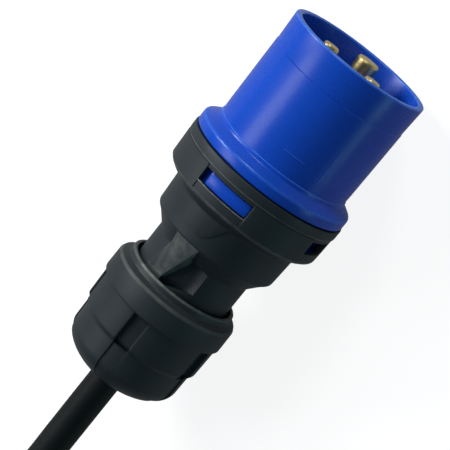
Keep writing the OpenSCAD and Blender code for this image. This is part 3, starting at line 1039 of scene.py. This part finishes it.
def tube(name: str, path: Sequence[Vector], radius: float, sides: int) -> bpy.types.Object:
    """Sweep a round tube with flat ends and a UV map along a path.

    Args:
        name: the piece's name.
        path: the places that it follows, in metres.
        radius: its radius in metres.
        sides: how many faces go round.

    Returns:
        The mesh object; u runs along it in metres and v round it.
    """
    rings: list[list[Vector]] = []
    reach = [0.0]
    side = Vector((0, 1, 0))
    for index, place in enumerate(path):
        before, after = path[max(index - 1, 0)], path[min(index + 1, len(path) - 1)]
        along = (after - before).normalized()
        side = (side - along * side.dot(along)).normalized()
        other = along.cross(side)
        turns = [math.tau * k / sides for k in range(sides)]
        rings.append([place + (side * math.cos(t) + other * math.sin(t)) * radius for t in turns])
        if index:
            reach.append(reach[-1] + (place - before).length)
    points = [point for ring in rings for point in ring]
    faces = [[i * sides + k, i * sides + (k + 1) % sides,
              (i + 1) * sides + (k + 1) % sides, (i + 1) * sides + k]
             for i in range(len(rings) - 1) for k in range(sides)]
    marks = [((reach[i], k / sides), (reach[i], (k + 1) / sides),
              (reach[i + 1], (k + 1) / sides), (reach[i + 1], k / sides))
             for i in range(len(rings) - 1) for k in range(sides)]
    last = (len(rings) - 1) * sides
    faces += [list(range(sides))[::-1], list(range(last, last + sides))]
    marks += [tuple((reach[end], k / sides) for k in range(sides)) for end in (0, -1)]
    mesh = bpy.data.meshes.new(name)
    mesh.from_pydata(points, [], faces)
    layer = mesh.uv_layers.new(name="UVMap")
    layer.data.foreach_set("uv", [x for face in marks for corner in face for x in corner])
    piece = bpy.data.objects.new(name, mesh)
    bpy.context.scene.collection.objects.link(piece)
    return piece


def threaded(places: Sequence[Vector], steps: int) -> list[Vector]:
    """Draw a smooth line through places.

    Args:
        places: the places that it goes through.
        steps: how many points there are from one place to the next.

    Returns:
        The line's points.
    """
    line: list[Vector] = []
    for index in range(len(places) - 1):
        a, b = places[max(index - 1, 0)], places[index]
        c, d = places[index + 1], places[min(index + 2, len(places) - 1)]
        for step in range(steps):
            t = step / steps
            line.append(0.5 * (2 * b + (c - a) * t + (2 * a - 5 * b + 4 * c - d) * t * t
                               + (3 * b - a - 3 * c + d) * t * t * t))
    return line + [places[-1]]


@dataclass
class Lead:
    """The rubber lead behind the plug: a free stretch, a tied hank and its stripped end."""

    diameter: float = 9.8
    straight_x: float = -84.0
    route: tuple[tuple[float, float, float], ...] = (
        (-92, 0, 25.3), (-102, 0.6, 24.3), (-112, 2.4, 21.8), (-122, 5.3, 17.8), (-132, 9, 13.4),
        (-142, 13.1, 9.4), (-152, 17.4, 6.6), (-162, 21.4, 5.2), (-172, 24.9, 4.9),
        (-182, 27.7, 4.9), (-190, 29.1, 4.9), (-195, 29.4, 4.9), (-199.1, 29.4, 4.9))
    layers: int = 4
    rise_run: float = 40.0
    rise_turn: float = 150.0
    run_steps: int = 14
    fold_steps: int = 22
    straight_steps: int = 4
    route_steps: int = 3
    sides: int = 28
    real_length: float = 1.5

    def hank_line(self) -> list[Vector]:
        """Follow the lead round the hank, layer on layer, to its end.

        Returns:
            The centreline's points in millimetres.
        """
        low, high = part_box("lead_hank")
        radius = self.diameter / 2
        fold = (high.y - low.y) / 2 / MM - radius
        front, back = high.x / MM - fold - radius, low.x / MM + fold + radius
        rise_length = self.rise_run + fold * math.radians(self.rise_turn)
        line: list[Vector] = []

        def climb(gone: float) -> float:
            """Give the rise to the next layer after a length of the climb."""
            share = min(max(gone / rise_length, 0.0), 1.0)
            return self.diameter * (1 - math.cos(math.pi * share)) / 2

        for layer in range(self.layers):
            base = radius + layer * self.diameter
            run = [front + (back - front) * k / self.run_steps for k in range(self.run_steps)]
            line += [Vector((x, fold, base)) for x in run]
            for k in range(self.fold_steps + 1):
                turn = math.pi * k / self.fold_steps
                line.append(Vector((back - fold * math.sin(turn), fold * math.cos(turn), base)))
            if layer == self.layers - 1:
                break
            for k in range(1, self.run_steps + 1):
                x = back + (front - back) * k / self.run_steps
                line.append(Vector((x, -fold, base + climb(x - (front - self.rise_run)))))
            for k in range(1, self.fold_steps):
                turn = math.pi * k / self.fold_steps
                height = base + climb(self.rise_run + fold * turn)
                line.append(Vector((front + fold * math.sin(turn), -fold * math.cos(turn), height)))
        return line

    def build(self, finishes: Finishes) -> None:
        """Args:
            finishes: the plug's finishes.
        """
        exit_place = Vector((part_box("lead_end")[0].x / MM, 0, AXIS.height))
        straight_end = Vector((self.straight_x, 0, AXIS.height))
        start = [exit_place.lerp(straight_end, k / self.straight_steps)
                 for k in range(self.straight_steps + 1)]
        free = threaded([*start, *(Vector(place) for place in self.route)], self.route_steps)
        line = [place * MM for place in free[:-1] + self.hank_line()]
        lead = tube("rubber_lead", line, self.diameter / 2 * MM, self.sides)
        smooth(lead, 50)
        hand_in(lead, finishes, "lead_rubber", "lead", "lead_hank")
        length = sum((b - a).length for a, b in zip(line, line[1:]))
        LOG.info("lead: %.3f m long", length)


# The plug


@dataclass
class Shroud:
    """The blue front moulding: shroud, key, flange, skirt and latch lugs."""

    steps: int = 240
    profile: tuple[Corner, ...] = (
        (0, 22.0, 0.5), (9.4, 21.6, 0), (9.55, 21.75, 0), (20.8, 21.62, 0), (28.1, 21.52, 0),
        (28.35, 21.52, 0), (31.0, 21.49, 0), (34.0, 21.4, 0), (34.2, 21.65, 0.1),
        (35.2, 21.65, 0.9), (37.5, 25.2, 0.9), (40.6, 25.2, 0.45), (40.6, 23.1, 0.2),
        (44.6, 23.1, 0), (45.6, 23.1, 0), (49.2, 23.1, 0), (51.0, 23.1, 0), (51.6, 23.1, 0.3),
        (51.6, 21.1, 0.2), (51.0, 21.1, 0), (49.2, 21.1, 0), (45.6, 21.1, 0), (44.6, 21.1, 0),
        (37.6, 21.1, 0), (37.6, 19.7, 0), (0, 20.0, 0.45))
    raised: tuple[tuple[Zone, float], ...] = (
        (Zone(45.6, 49.2, centre=182.25, half=17.2, facing=Facing.OUT), 24.6 / 23.1),
        (Zone(45.6, 49.2, centre=2.25, half=17.2, facing=Facing.OUT), 24.6 / 23.1),
        (Zone(9.4, 9.55, 21, centre=176, half=30, facing=Facing.OUT), 0.992),
        (Zone(28.1, 28.35, 21, centre=201, half=9, facing=Facing.OUT), 1 + 0.12 / 21.5),
        (Zone(20.8, 31, 21, centre=227.25, half=0.75, facing=Facing.OUT), 1 + 0.12 / 21.5))
    windows: tuple[Zone, ...] = (
        Zone(44.6, 51.0, centre=90, half=22.6, facing=Facing.RADIAL),
        Zone(44.6, 51.0, centre=270, half=22.6, facing=Facing.RADIAL))
    key_outline: tuple[tuple[float, float], ...] = (
        (-3.1, 0.6), (3.1, 0.6), (3.1, 38.2), (-3.1, 38.2))
    key_foot: float = 20.9
    key_top: float = 25.0
    key_edges: Zone = Zone(back=36, inner=22.5, centre=0, half=11)
    lug_edges: Zone = Zone(45.5, 49.3, 23.5)
    # Painted highlights: light lines on the rim, the flange's edges and the two mould lines.
    highlights: tuple[tuple[Zone, float], ...] = (
        (Zone(back=0.6), 0.8), (Zone(34.0, 34.4, 21), 0.7), (Zone(37.0, 37.9, 24), 0.35),
        (Zone(28, 28.4, 21.5, centre=201, half=9), 0.6),
        (Zone(24, 31, 21.5, centre=227.2, half=0.9), 0.3))

    def build(self, finishes: Finishes) -> None:
        """Spin the shell, raise its lugs and mould lines, cut the skirt, add the key and paint
        highlights along its edges and lines.

        Args:
            finishes: the plug's finishes.
        """
        piece = spun("shroud_shell", rounded(self.profile), self.steps)
        for zone, share in self.raised:
            raise_faces(piece, zone, share)
        for window in self.windows:
            open_window(piece, window)
        key = standing_block("key", self.key_outline, self.key_foot, self.key_top, 0)
        combine(piece, key, "UNION")
        soften(piece, self.key_edges, 0.4, segments=3)
        soften(piece, self.lug_edges, 0.15)
        for zone, highlight in self.highlights:
            paint_highlight(piece, zone, highlight)
        smooth(piece)
        hand_in(piece, finishes, "shroud_plastic", "sleeve")


@dataclass
class Contact:
    """One turned brass pin with its stem and terminal block."""

    node: str
    angle: float
    radius: float
    block: float
    steps: int = 64
    seat: float = 36.2
    stem_extra: float = 0.6
    stem_end: float = 46.0
    end: float = 59.0
    bore: float = 1.8
    bore_start: float = 50.0
    screw_station: float = 53.5
    screw_hole: float = 1.7
    screw_start: float = 0.4
    tip_drop: float = 0.3
    tip_length: float = 0.7
    pole: float = 0.02

    def build(self, finishes: Finishes) -> None:
        """Turn the pin, drill its screw hole and dress it.

        Args:
            finishes: the plug's finishes.
        """
        axis = Axis.of_pin(self.node)
        tip = AXIS.rim_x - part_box(self.node)[1].x / MM
        stem = self.radius + self.stem_extra
        corners = [(tip, self.pole, 0), (tip, self.radius - self.tip_drop, 0.25),
                   (tip + self.tip_length, self.radius, 0.5), (self.seat, self.radius, 0),
                   (self.seat, stem, 0.1), (self.stem_end, stem, 0),
                   (self.stem_end, self.block, 0.25), (self.end, self.block, 0.3),
                   (self.end, self.bore, 0.2), (self.bore_start, self.bore, 0),
                   (self.bore_start, self.pole, 0)]
        piece = spun(self.node.replace("pin", "contact"), rounded(corners, 4), self.steps, 0, axis)
        self.drill(piece, axis)
        smooth(piece, 30)
        hand_in(piece, finishes, "contact_brass", self.node)

    def drill(self, piece: bpy.types.Object, axis: Axis) -> None:
        """Cut the terminal screw's hole through the outer side of the block.

        Args:
            piece: the turned contact.
            axis: the contact's own axis.
        """
        deselect()
        bpy.ops.mesh.primitive_cylinder_add(vertices=32, radius=self.screw_hole * MM,
                                            depth=self.block * MM)
        cutter = bpy.context.active_object
        depth = self.bore + self.block / 2 - self.screw_start
        middle = axis.point(self.screw_station, depth, self.angle)
        outward = middle - axis.point(self.screw_station, 0, 0)
        cutter.rotation_euler = outward.to_track_quat("Z", "Y").to_euler()
        cutter.location = middle
        apply_place(cutter)
        combine(piece, cutter, "DIFFERENCE")


@dataclass
class Housing:
    """The dark rear housing: collar with latch windows, barrel, shoulder and neck."""

    steps: int = 144
    profile: tuple[Corner, ...] = (
        (41.0, 25.5, 0.35), (43.7, 25.5, 0), (44.0, 25.45, 0.08), (44.2, 25.2, 0.08),
        (45.2, 25.17, 0), (49.6, 25.03, 0), (49.85, 25.02, 0), (52.9, 24.9, 1.3),
        (54.0, 23.4, 0.6), (55.8, 20.4, 1.2), (65.6, 19.9, 1.2), (67.0, 18.4, 1.0),
        (70.8, 15.3, 1.6), (84.0, 15.3, 0.2), (84.0, 13.9, 0), (95.0, 13.9, 0.5),
        (95.0, 11.5, 0.3), (70.8, 11.5, 0), (65.0, 18.3, 0), (52.0, 18.3, 0), (52.0, 23.4, 0),
        (49.6, 23.4, 0), (45.2, 23.4, 0), (41.0, 23.4, 0.3))
    sides: int = 4
    window: Zone = Zone(45.2, 49.6, half=20, facing=Facing.RADIAL)
    window_edges: Zone = Zone(45, 49.8, 23.2, half=20.5, repeats=4)
    raised: tuple[tuple[Zone, float], ...] = (
        (Zone(44.2, 52.2, 24.8, centre=45, half=25, facing=Facing.OUT, repeats=4), 25.45 / 25.15),
        (Zone(49.6, 49.85, 24.8, centre=180, half=20, facing=Facing.OUT), 1.006))
    # Painted highlights: light lines along the collar's front step, the top window's rear lip, the
    # collar's rear edge and the panels' sides.
    highlights: tuple[tuple[Zone, float], ...] = (
        (Zone(43.7, 44.1, 25.1), 0.6), (Zone(49.5, 49.95, 24.9, centre=180, half=21), 1.0),
        (Zone(52.2, 53.4, 24.3), 0.35), (Zone(44.2, 52.2, 25.1, 25.4, facing=Facing.SIDE), 0.9))
    top: float = 180.0
    tongue_angle: float = 167.0
    pocket_angle: float = 197.0
    plate_profile: tuple[Corner, ...] = (
        (52.6, 17.5, 0), (52.6, 23.5, 0), (54.0, 23.4, 0), (55.8, 20.7, 0.9), (60.0, 20.5, 0),
        (63.6, 19.9, 0), (63.6, 17.5, 0))
    plate_outline: tuple[tuple[float, float], ...] = (
        (-7.2, 52.8), (8.2, 52.8), (1.6, 63.0), (1.6, 70.8), (-7.2, 70.8))
    plate_crease: Zone = Zone(inner=19, centre=270, half=90)
    tongue_profile: tuple[Corner, ...] = (
        (64.4, 12.0, 0), (64.4, 19.75, 0), (65.4, 19.75, 0.3), (79.2, 16.1, 0.15),
        (79.5, 15.7, 0.1), (83.6, 15.7, 0.4), (83.6, 12.0, 0))
    tongue_outline: tuple[tuple[float, float], ...] = (
        (-0.8, 64.6), (8.0, 64.6), (1.6, 79.5), (1.5, 83.6), (-4.5, 83.6), (-4.7, 79.5),
        (-0.9, 69.3))
    tongue_edges: Zone = Zone(66, inner=14.5)
    # Painted highlight across the tongue's top, lighter towards its higher angles, and a bright
    # painted highlight on its rear step.
    tongue_highlights: tuple[tuple[Zone, float], ...] = (
        (Zone(64, 79, 15, centre=195, half=45, facing=Facing.OUT), 0.1),
        (Zone(64, 79, 15, centre=205, half=45, facing=Facing.OUT), 0.25),
        (Zone(64, 79, 15, centre=209, half=45, facing=Facing.OUT), 0.4),
        (Zone(64, 79, 15, centre=213, half=45, facing=Facing.OUT), 0.55),
        (Zone(79.1, 79.7, 15), 0.9))
    pocket_outline: tuple[tuple[float, float], ...] = (
        (-7.5, 70.4), (0.2, 70.4), (4.4, 71.4), (4.0, 78.1), (-7.5, 82.3))
    pocket_floor: float = 12.9
    pocket_slope: tuple[tuple[float, float], ...] = (
        (-1.0, 12.9), (0.6, 13.15), (2.0, 13.65), (3.2, 14.35), (4.1, 15.1), (4.6, 15.7),
        (4.6, 10.0), (-1.0, 10.0))
    block_top: float = 22.0
    rib_profile: tuple[tuple[float, float], ...] = (
        (41.0, 18.3), (41.0, 20.7), (52.3, 20.7), (52.3, 18.3))
    between_ribs: Zone = Zone(half=40.1, repeats=4)

    def build(self, finishes: Finishes) -> None:
        """Make the shell, then its plate, tongue, ribs and thread.

        Args:
            finishes: the plug's finishes.
        """
        hand_in(self.build_shell(), finishes, "housing_plastic", "rear_housing")
        for piece in (self.build_plate(), self.build_tongue(), self.build_ribs(),
                      thread_ridge("neck_thread", 84.4, 94.4, 13.7, 14.75, 0.0)):
            hand_in(piece, finishes, "housing_plastic")

    def build_shell(self) -> bpy.types.Object:
        """Spin the shell, raise its panels, cut its windows and the pocket on its neck, and paint
        highlights along its edges.

        Returns:
            The shell.
        """
        shell = spun("housing_shell", rounded(self.profile), self.steps)
        for zone, share in self.raised:
            raise_faces(shell, zone, share)
        for k in range(self.sides):
            open_window(shell, replace(self.window, centre=360 / self.sides * k))
        combine(shell, self.build_pocket(), "DIFFERENCE")
        # The window edges are bevelled and their bevels painted as highlights.
        soften(shell, self.window_edges, 0.2, 50, highlight=0.7)
        for zone, highlight in self.highlights:
            paint_highlight(shell, zone, highlight)
        smooth(shell)
        return shell

    def build_plate(self) -> bpy.types.Object:
        """Make the low plate on the barrel behind the top window, with one slanted side.

        Returns:
            The plate.
        """
        plate = spun("barrel_plate", rounded(self.plate_profile, 4), self.steps)
        block = standing_block("plate_block", self.plate_outline, 15.0, 26.0, self.top)
        combine(plate, block, "INTERSECT")
        # The slanted crease is bevelled and its bevel painted as a bright highlight.
        soften(plate, self.plate_crease, 0.25, 50, highlight=1.0)
        smooth(plate)
        return plate

    def build_pocket(self) -> bpy.types.Object:
        """Make the block that cuts the pocket: deep by the tongue, sloping up on its far side.

        Returns:
            The cutting block.
        """
        pocket = standing_block("pocket", self.pocket_outline, self.pocket_floor, self.block_top,
                                self.pocket_angle)
        corners = [Vector((-84, -across, height)) * MM for across, height in self.pocket_slope]
        slope = turned_into_place(prism("slope", corners, Vector((20 * MM, 0, 0))),
                                  self.pocket_angle)
        combine(pocket, slope, "DIFFERENCE")
        return pocket

    def build_tongue(self) -> bpy.types.Object:
        """Make the ramp that narrows from the barrel's edge and steps into the nut's mouth.

        Returns:
            The tongue.
        """
        tongue = standing_block("neck_tongue", self.tongue_outline, self.pocket_floor - 0.3,
                                self.block_top, self.tongue_angle)
        combine(tongue, spun("ramp", rounded(self.tongue_profile), self.steps), "INTERSECT")
        # The tongue's edges are bevelled and painted as highlights, then its top and rear step as
        # listed above.
        soften(tongue, self.tongue_edges, 0.25, 50, highlight=0.5)
        for zone, highlight in self.tongue_highlights:
            paint_highlight(tongue, zone, highlight)
        smooth(tongue)
        return tongue

    def build_ribs(self) -> bpy.types.Object:
        """Make the four ribs inside the collar that hold the pin carrier on its seat.

        Returns:
            The ribs, as one mesh.
        """
        ribs = spun("hold_down_ribs", self.rib_profile, self.steps)
        select_faces(ribs, self.between_ribs)
        edit(ribs, "FACE", None)
        bpy.ops.mesh.delete(type="FACE")
        bpy.ops.mesh.select_mode(type="EDGE")
        bpy.ops.mesh.select_all(action="SELECT")
        bpy.ops.mesh.fill_holes(sides=8)
        leave_edit()
        tidy(ribs)
        smooth(ribs)
        return ribs


def thread_ridge(name: str, start: float, end: float, root: float, crest: float,
                 phase: float) -> bpy.types.Object:
    """Wind a thread's ridge round the plug's axis.

    Args:
        name: the piece's name.
        start: the first station.
        end: the last station.
        root: the radius of its foot, sunk in what carries it.
        crest: the radius of its top.
        phase: how many turns it's shifted along the thread.

    Returns:
        The mesh object.
    """
    pitch, foot, top = THREAD_PITCH, THREAD_FOOT, THREAD_TOP
    turns = int((end - start - 2 * foot) / pitch)
    shift = phase * pitch + foot - end
    corners = [(shift - foot, root), (shift - top, crest), (shift + top, crest),
               (shift + foot, root)]
    piece = ring(name, [Vector((x, 0, radius)) * MM for x, radius in corners])
    leave_edit()
    screw = piece.modifiers.new("Screw", "SCREW")
    screw.axis, screw.angle, screw.screw_offset = "X", math.tau, pitch * MM
    screw.iterations, screw.steps, screw.render_steps = turns, THREAD_STEPS, THREAD_STEPS
    apply_modifiers(piece)
    edit(piece, "VERT", "SELECT")
    bpy.ops.mesh.fill_holes(sides=8)
    leave_edit()
    piece.location = AXIS.centre()
    apply_place(piece)
    tidy(piece)
    smooth(piece)
    return piece


@dataclass
class GlandNut:
    """The dark gland nut with five grip pads on its dome."""

    steps: int = 180
    pads: int = 5
    groove: float = 187.0
    groove_half: float = 8.0
    profile: tuple[Corner, ...] = (
        (80.5, 17.5, 0.9), (82.6, 17.6, 0.5), (83.5, 19.6, 0.5), (84.4, 20.1, 0.4),
        (90.7, 20.2, 0.3), (91.1, 19.45, 0.15), (100.8, 19.25, 0.9), (102.1, 18.25, 0.7))
    bore: tuple[Corner, ...] = (
        (113.4, 5.5, 0), (107.4, 9.5, 0), (107.4, 13.3, 0), (97.2, 13.3, 0), (97.2, 15.0, 0),
        (84.3, 15.0, 0), (84.2, 16.3, 0), (80.5, 16.3, 0.4))
    dome_radius: float = 18.15
    dome_start: float = 108.5
    dome_length: float = 9.1
    dome_steps: int = 14
    hole: float = 5.5
    bore_most: float = 16.8
    funnel: float = 2.375
    front_lean: float = 0.3
    dome_groove: Zone = Zone(102.2)
    dome_groove_share: float = 0.978
    pad_groove: Zone = Zone(91.2, 102.15, 17.7, facing=Facing.OUT)
    pad_groove_share: float = 0.918
    pad_edges: Zone = Zone(91.2, 102.4, 17.5)
    # Painted highlights: light lines on the mouth's inner edge, brightest by the tongue, and on the
    # ring's front edge.
    highlights: tuple[tuple[Zone, float], ...] = (
        (Zone(back=81.1, inner=16.2, outer=17.5), 0.5),
        (Zone(back=81.1, inner=16.2, outer=17.5, centre=167, half=16), 1.0),
        (Zone(83.3, 84.3, 19.2), 0.3))

    def dome(self) -> list[Corner]:
        """Give the dome's outline from the pads' end to the hole's edge.

        Returns:
            The outline's corners.
        """
        last = math.acos(self.hole / self.dome_radius)
        turns = [last * k / self.dome_steps for k in range(self.dome_steps + 1)]
        return [(self.dome_start + self.dome_length * math.sin(t), self.dome_radius * math.cos(t),
                 0.0) for t in turns]

    def on_dome(self, station: float, radius: float, _angle: float, normal: Vector) -> bool:
        """Say whether a face lies on the dome's outside, and not in its bore or on a front wall.

        Args:
            station: the face's station.
            radius: its distance from the axis.
            _angle: its angle, which doesn't matter here.
            normal: its normal.

        Returns:
            True for a face on the dome's outside.
        """
        to_back = self.dome_start + self.dome_length - station
        return normal.x < self.front_lean and (
            radius > self.bore_most or (station > self.dome_start + 0.5
                                        and radius > self.hole + 0.4
                                        and radius > self.funnel * to_back))

    def build(self, finishes: Finishes) -> None:
        """Spin the nut, sink the grooves between its pads and paint highlights on its mouth and
        ring.

        Args:
            finishes: the plug's finishes.
        """
        piece = spun("gland_nut_shell", rounded([*self.profile, *self.dome(), *self.bore]),
                     self.steps, 1.0)
        for k in range(self.pads):
            turn = {"centre": self.groove + 360 / self.pads * k, "half": self.groove_half}
            dome, pad = replace(self.dome_groove, **turn), replace(self.pad_groove, **turn)
            raise_faces(piece, lambda *place, zone=dome: zone(*place) and self.on_dome(*place),
                        self.dome_groove_share)
            raise_faces(piece, pad, self.pad_groove_share)
        soften(piece, self.pad_edges, 0.2, 50)
        for zone, highlight in self.highlights:
            paint_highlight(piece, zone, highlight)
        smooth(piece)
        hand_in(piece, finishes, "housing_plastic", "gland_nut", body=Body.NUT)
        thread = thread_ridge("nut_thread", 85.6, 95.6, 15.2, 14.25, 0.5)
        hand_in(thread, finishes, "housing_plastic", body=Body.NUT)


@dataclass
class HankTie:
    """A woven strap round one side of the hank."""

    node: str
    steps: int = 8
    thickness: float = 0.6
    edge: float = 0.2
    top_round: float = 0.96
    foot_round: float = 0.45

    def outline(self) -> list[Vector]:
        """Give the strap's inner loop, seen along the lead, at its rear edge.

        Returns:
            The loop's corners in metres.
        """
        low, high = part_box(self.node)
        inset = Vector((0, self.thickness, self.thickness)) * MM
        low, high = low + inset, high - inset
        half = (high.y - low.y) / 2
        middle = (high.y + low.y) / 2
        loop: list[Vector] = []
        for right, up, start, share in ((1, 1, 0, self.top_round), (-1, 1, 90, self.top_round),
                                        (-1, -1, 180, self.foot_round),
                                        (1, -1, 270, self.foot_round)):
            radius = half * share
            centre_y = middle + right * (half - radius)
            centre_z = (high.z - radius) if up > 0 else (low.z + radius)
            for k in range(self.steps + 1):
                turn = math.radians(start + 90 * k / self.steps)
                loop.append(Vector((low.x, centre_y + radius * math.cos(turn),
                                    centre_z + radius * math.sin(turn))))
        return loop

    def build(self, finishes: Finishes) -> None:
        """Extrude the loop into a band with thickness and rounded edges.

        Args:
            finishes: the plug's finishes.
        """
        low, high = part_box(self.node)
        strap = ring(self.node.replace("hank_tie", "strap"), self.outline())
        extrude(Vector((high.x - low.x, 0, 0)))
        bpy.ops.mesh.select_all(action="SELECT")
        bpy.ops.mesh.normals_make_consistent(inside=False)
        leave_edit()
        solid = strap.modifiers.new("Solidify", "SOLIDIFY")
        solid.thickness, solid.offset = self.thickness * MM, 1.0
        bevel = strap.modifiers.new("Bevel", "BEVEL")
        bevel.width, bevel.segments, bevel.angle_limit = self.edge * MM, 2, math.radians(60)
        apply_modifiers(strap)
        tidy(strap)
        smooth(strap, 50)
        hand_in(strap, finishes, "tie_fabric", self.node)


@dataclass
class TailCore:
    """One insulated core at the lead's stripped end, with its crimped ferrule."""

    colour: str
    offset: int
    slot: str
    sides: int = 16
    radius: float = 1.45
    length: float = 45.0
    front_x: float = -300.1
    start_z: float = 34.3
    rest_z: float = 30.95
    lay: float = 2.9
    spread: float = 3.1
    line_y: float = -29.4
    settling: tuple[tuple[float, float, float], ...] = (
        (0, 0, 0), (0.1, 0, 0.1), (0.25, 0.3, 0.7), (0.4, 0.8, 1), (0.55, 1, 1), (0.8, 1, 1),
        (1, 1, 1))
    ferrule_radius: float = 1.4
    crimps: int = 4
    crimp_start: float = 1.9
    crimp_pitch: float = 1.2
    crimp_half: float = 0.45
    crimp_radii: tuple[float, float] = (1.15, 1.35)
    pole: float = 0.05

    def route(self) -> list[Vector]:
        """Give the core's places: it fans out and settles on the layer below.

        Returns:
            The places in metres, from the sheath's end to the core's.
        """
        drop, fan = self.rest_z - self.start_z, self.spread - self.lay
        return [Vector((self.front_x + gone * self.length,
                        self.line_y + self.offset * (self.lay + out * fan),
                        self.start_z + down * drop)) * MM for gone, out, down in self.settling]

    def build(self, finishes: Finishes) -> None:
        """Make the core and its ferrule.

        Args:
            finishes: the plug's finishes.
        """
        core = tube(f"tail_insulation_{self.colour}", threaded(self.route(), 4),
                    self.radius * MM, self.sides)
        smooth(core, 50)
        hand_in(core, finishes, self.slot, f"tail_core_{self.colour}")
        node = f"tail_ferrule_{self.colour}"
        front, back = (AXIS.rim_x - edge.x / MM for edge in reversed(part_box(node)))
        low, high = self.crimp_radii
        corners = [(front, self.pole, 0), (front, low, 0.15), (front + 1, 1.3, 0)]
        for k in range(self.crimps):
            middle = front + self.crimp_start + self.crimp_pitch * k
            corners += [(middle - self.crimp_half, high, 0.1), (middle, low, 0.15),
                        (middle + self.crimp_half, high, 0.1)]
        corners += [(back - 0.8, self.ferrule_radius, 0.2), (back, self.ferrule_radius, 0.2),
                    (back, self.pole, 0)]
        ferrule = spun(f"tail_crimp_{self.colour}", rounded(corners, 2), 2 * self.sides, 0,
                       Axis.of_pin(node))
        smooth(ferrule, 40)
        hand_in(ferrule, finishes, "ferrule_metal", node)


def main() -> None:
    """Build the studio, the lead and the plug in order."""
    logging.basicConfig(level=logging.INFO, format="%(name)s: %(message)s")
    Studio().build()
    finishes = Finishes()
    finishes.build()
    finishes.dress_frame()
    tails = [TailCore("brown", 1, "core_brown"), TailCore("blue", 0, "core_blue"),
             TailCore("earth", -1, "core_green_yellow")]
    ties = [HankTie("hank_tie_left"), HankTie("hank_tie_right")]
    pins = [Contact("live_pin", 120, 2.5, 4.5), Contact("neutral_pin", 240, 2.5, 4.5),
            Contact("earth_pin", 0, 3.5, 5.25)]
    for part in (*tails, *ties):
        part.build(finishes)
    Lead().build(finishes)
    for part in (Shroud(), *pins, Housing(), GlandNut()):
        part.build(finishes)


if __name__ == "__main__":
    main()
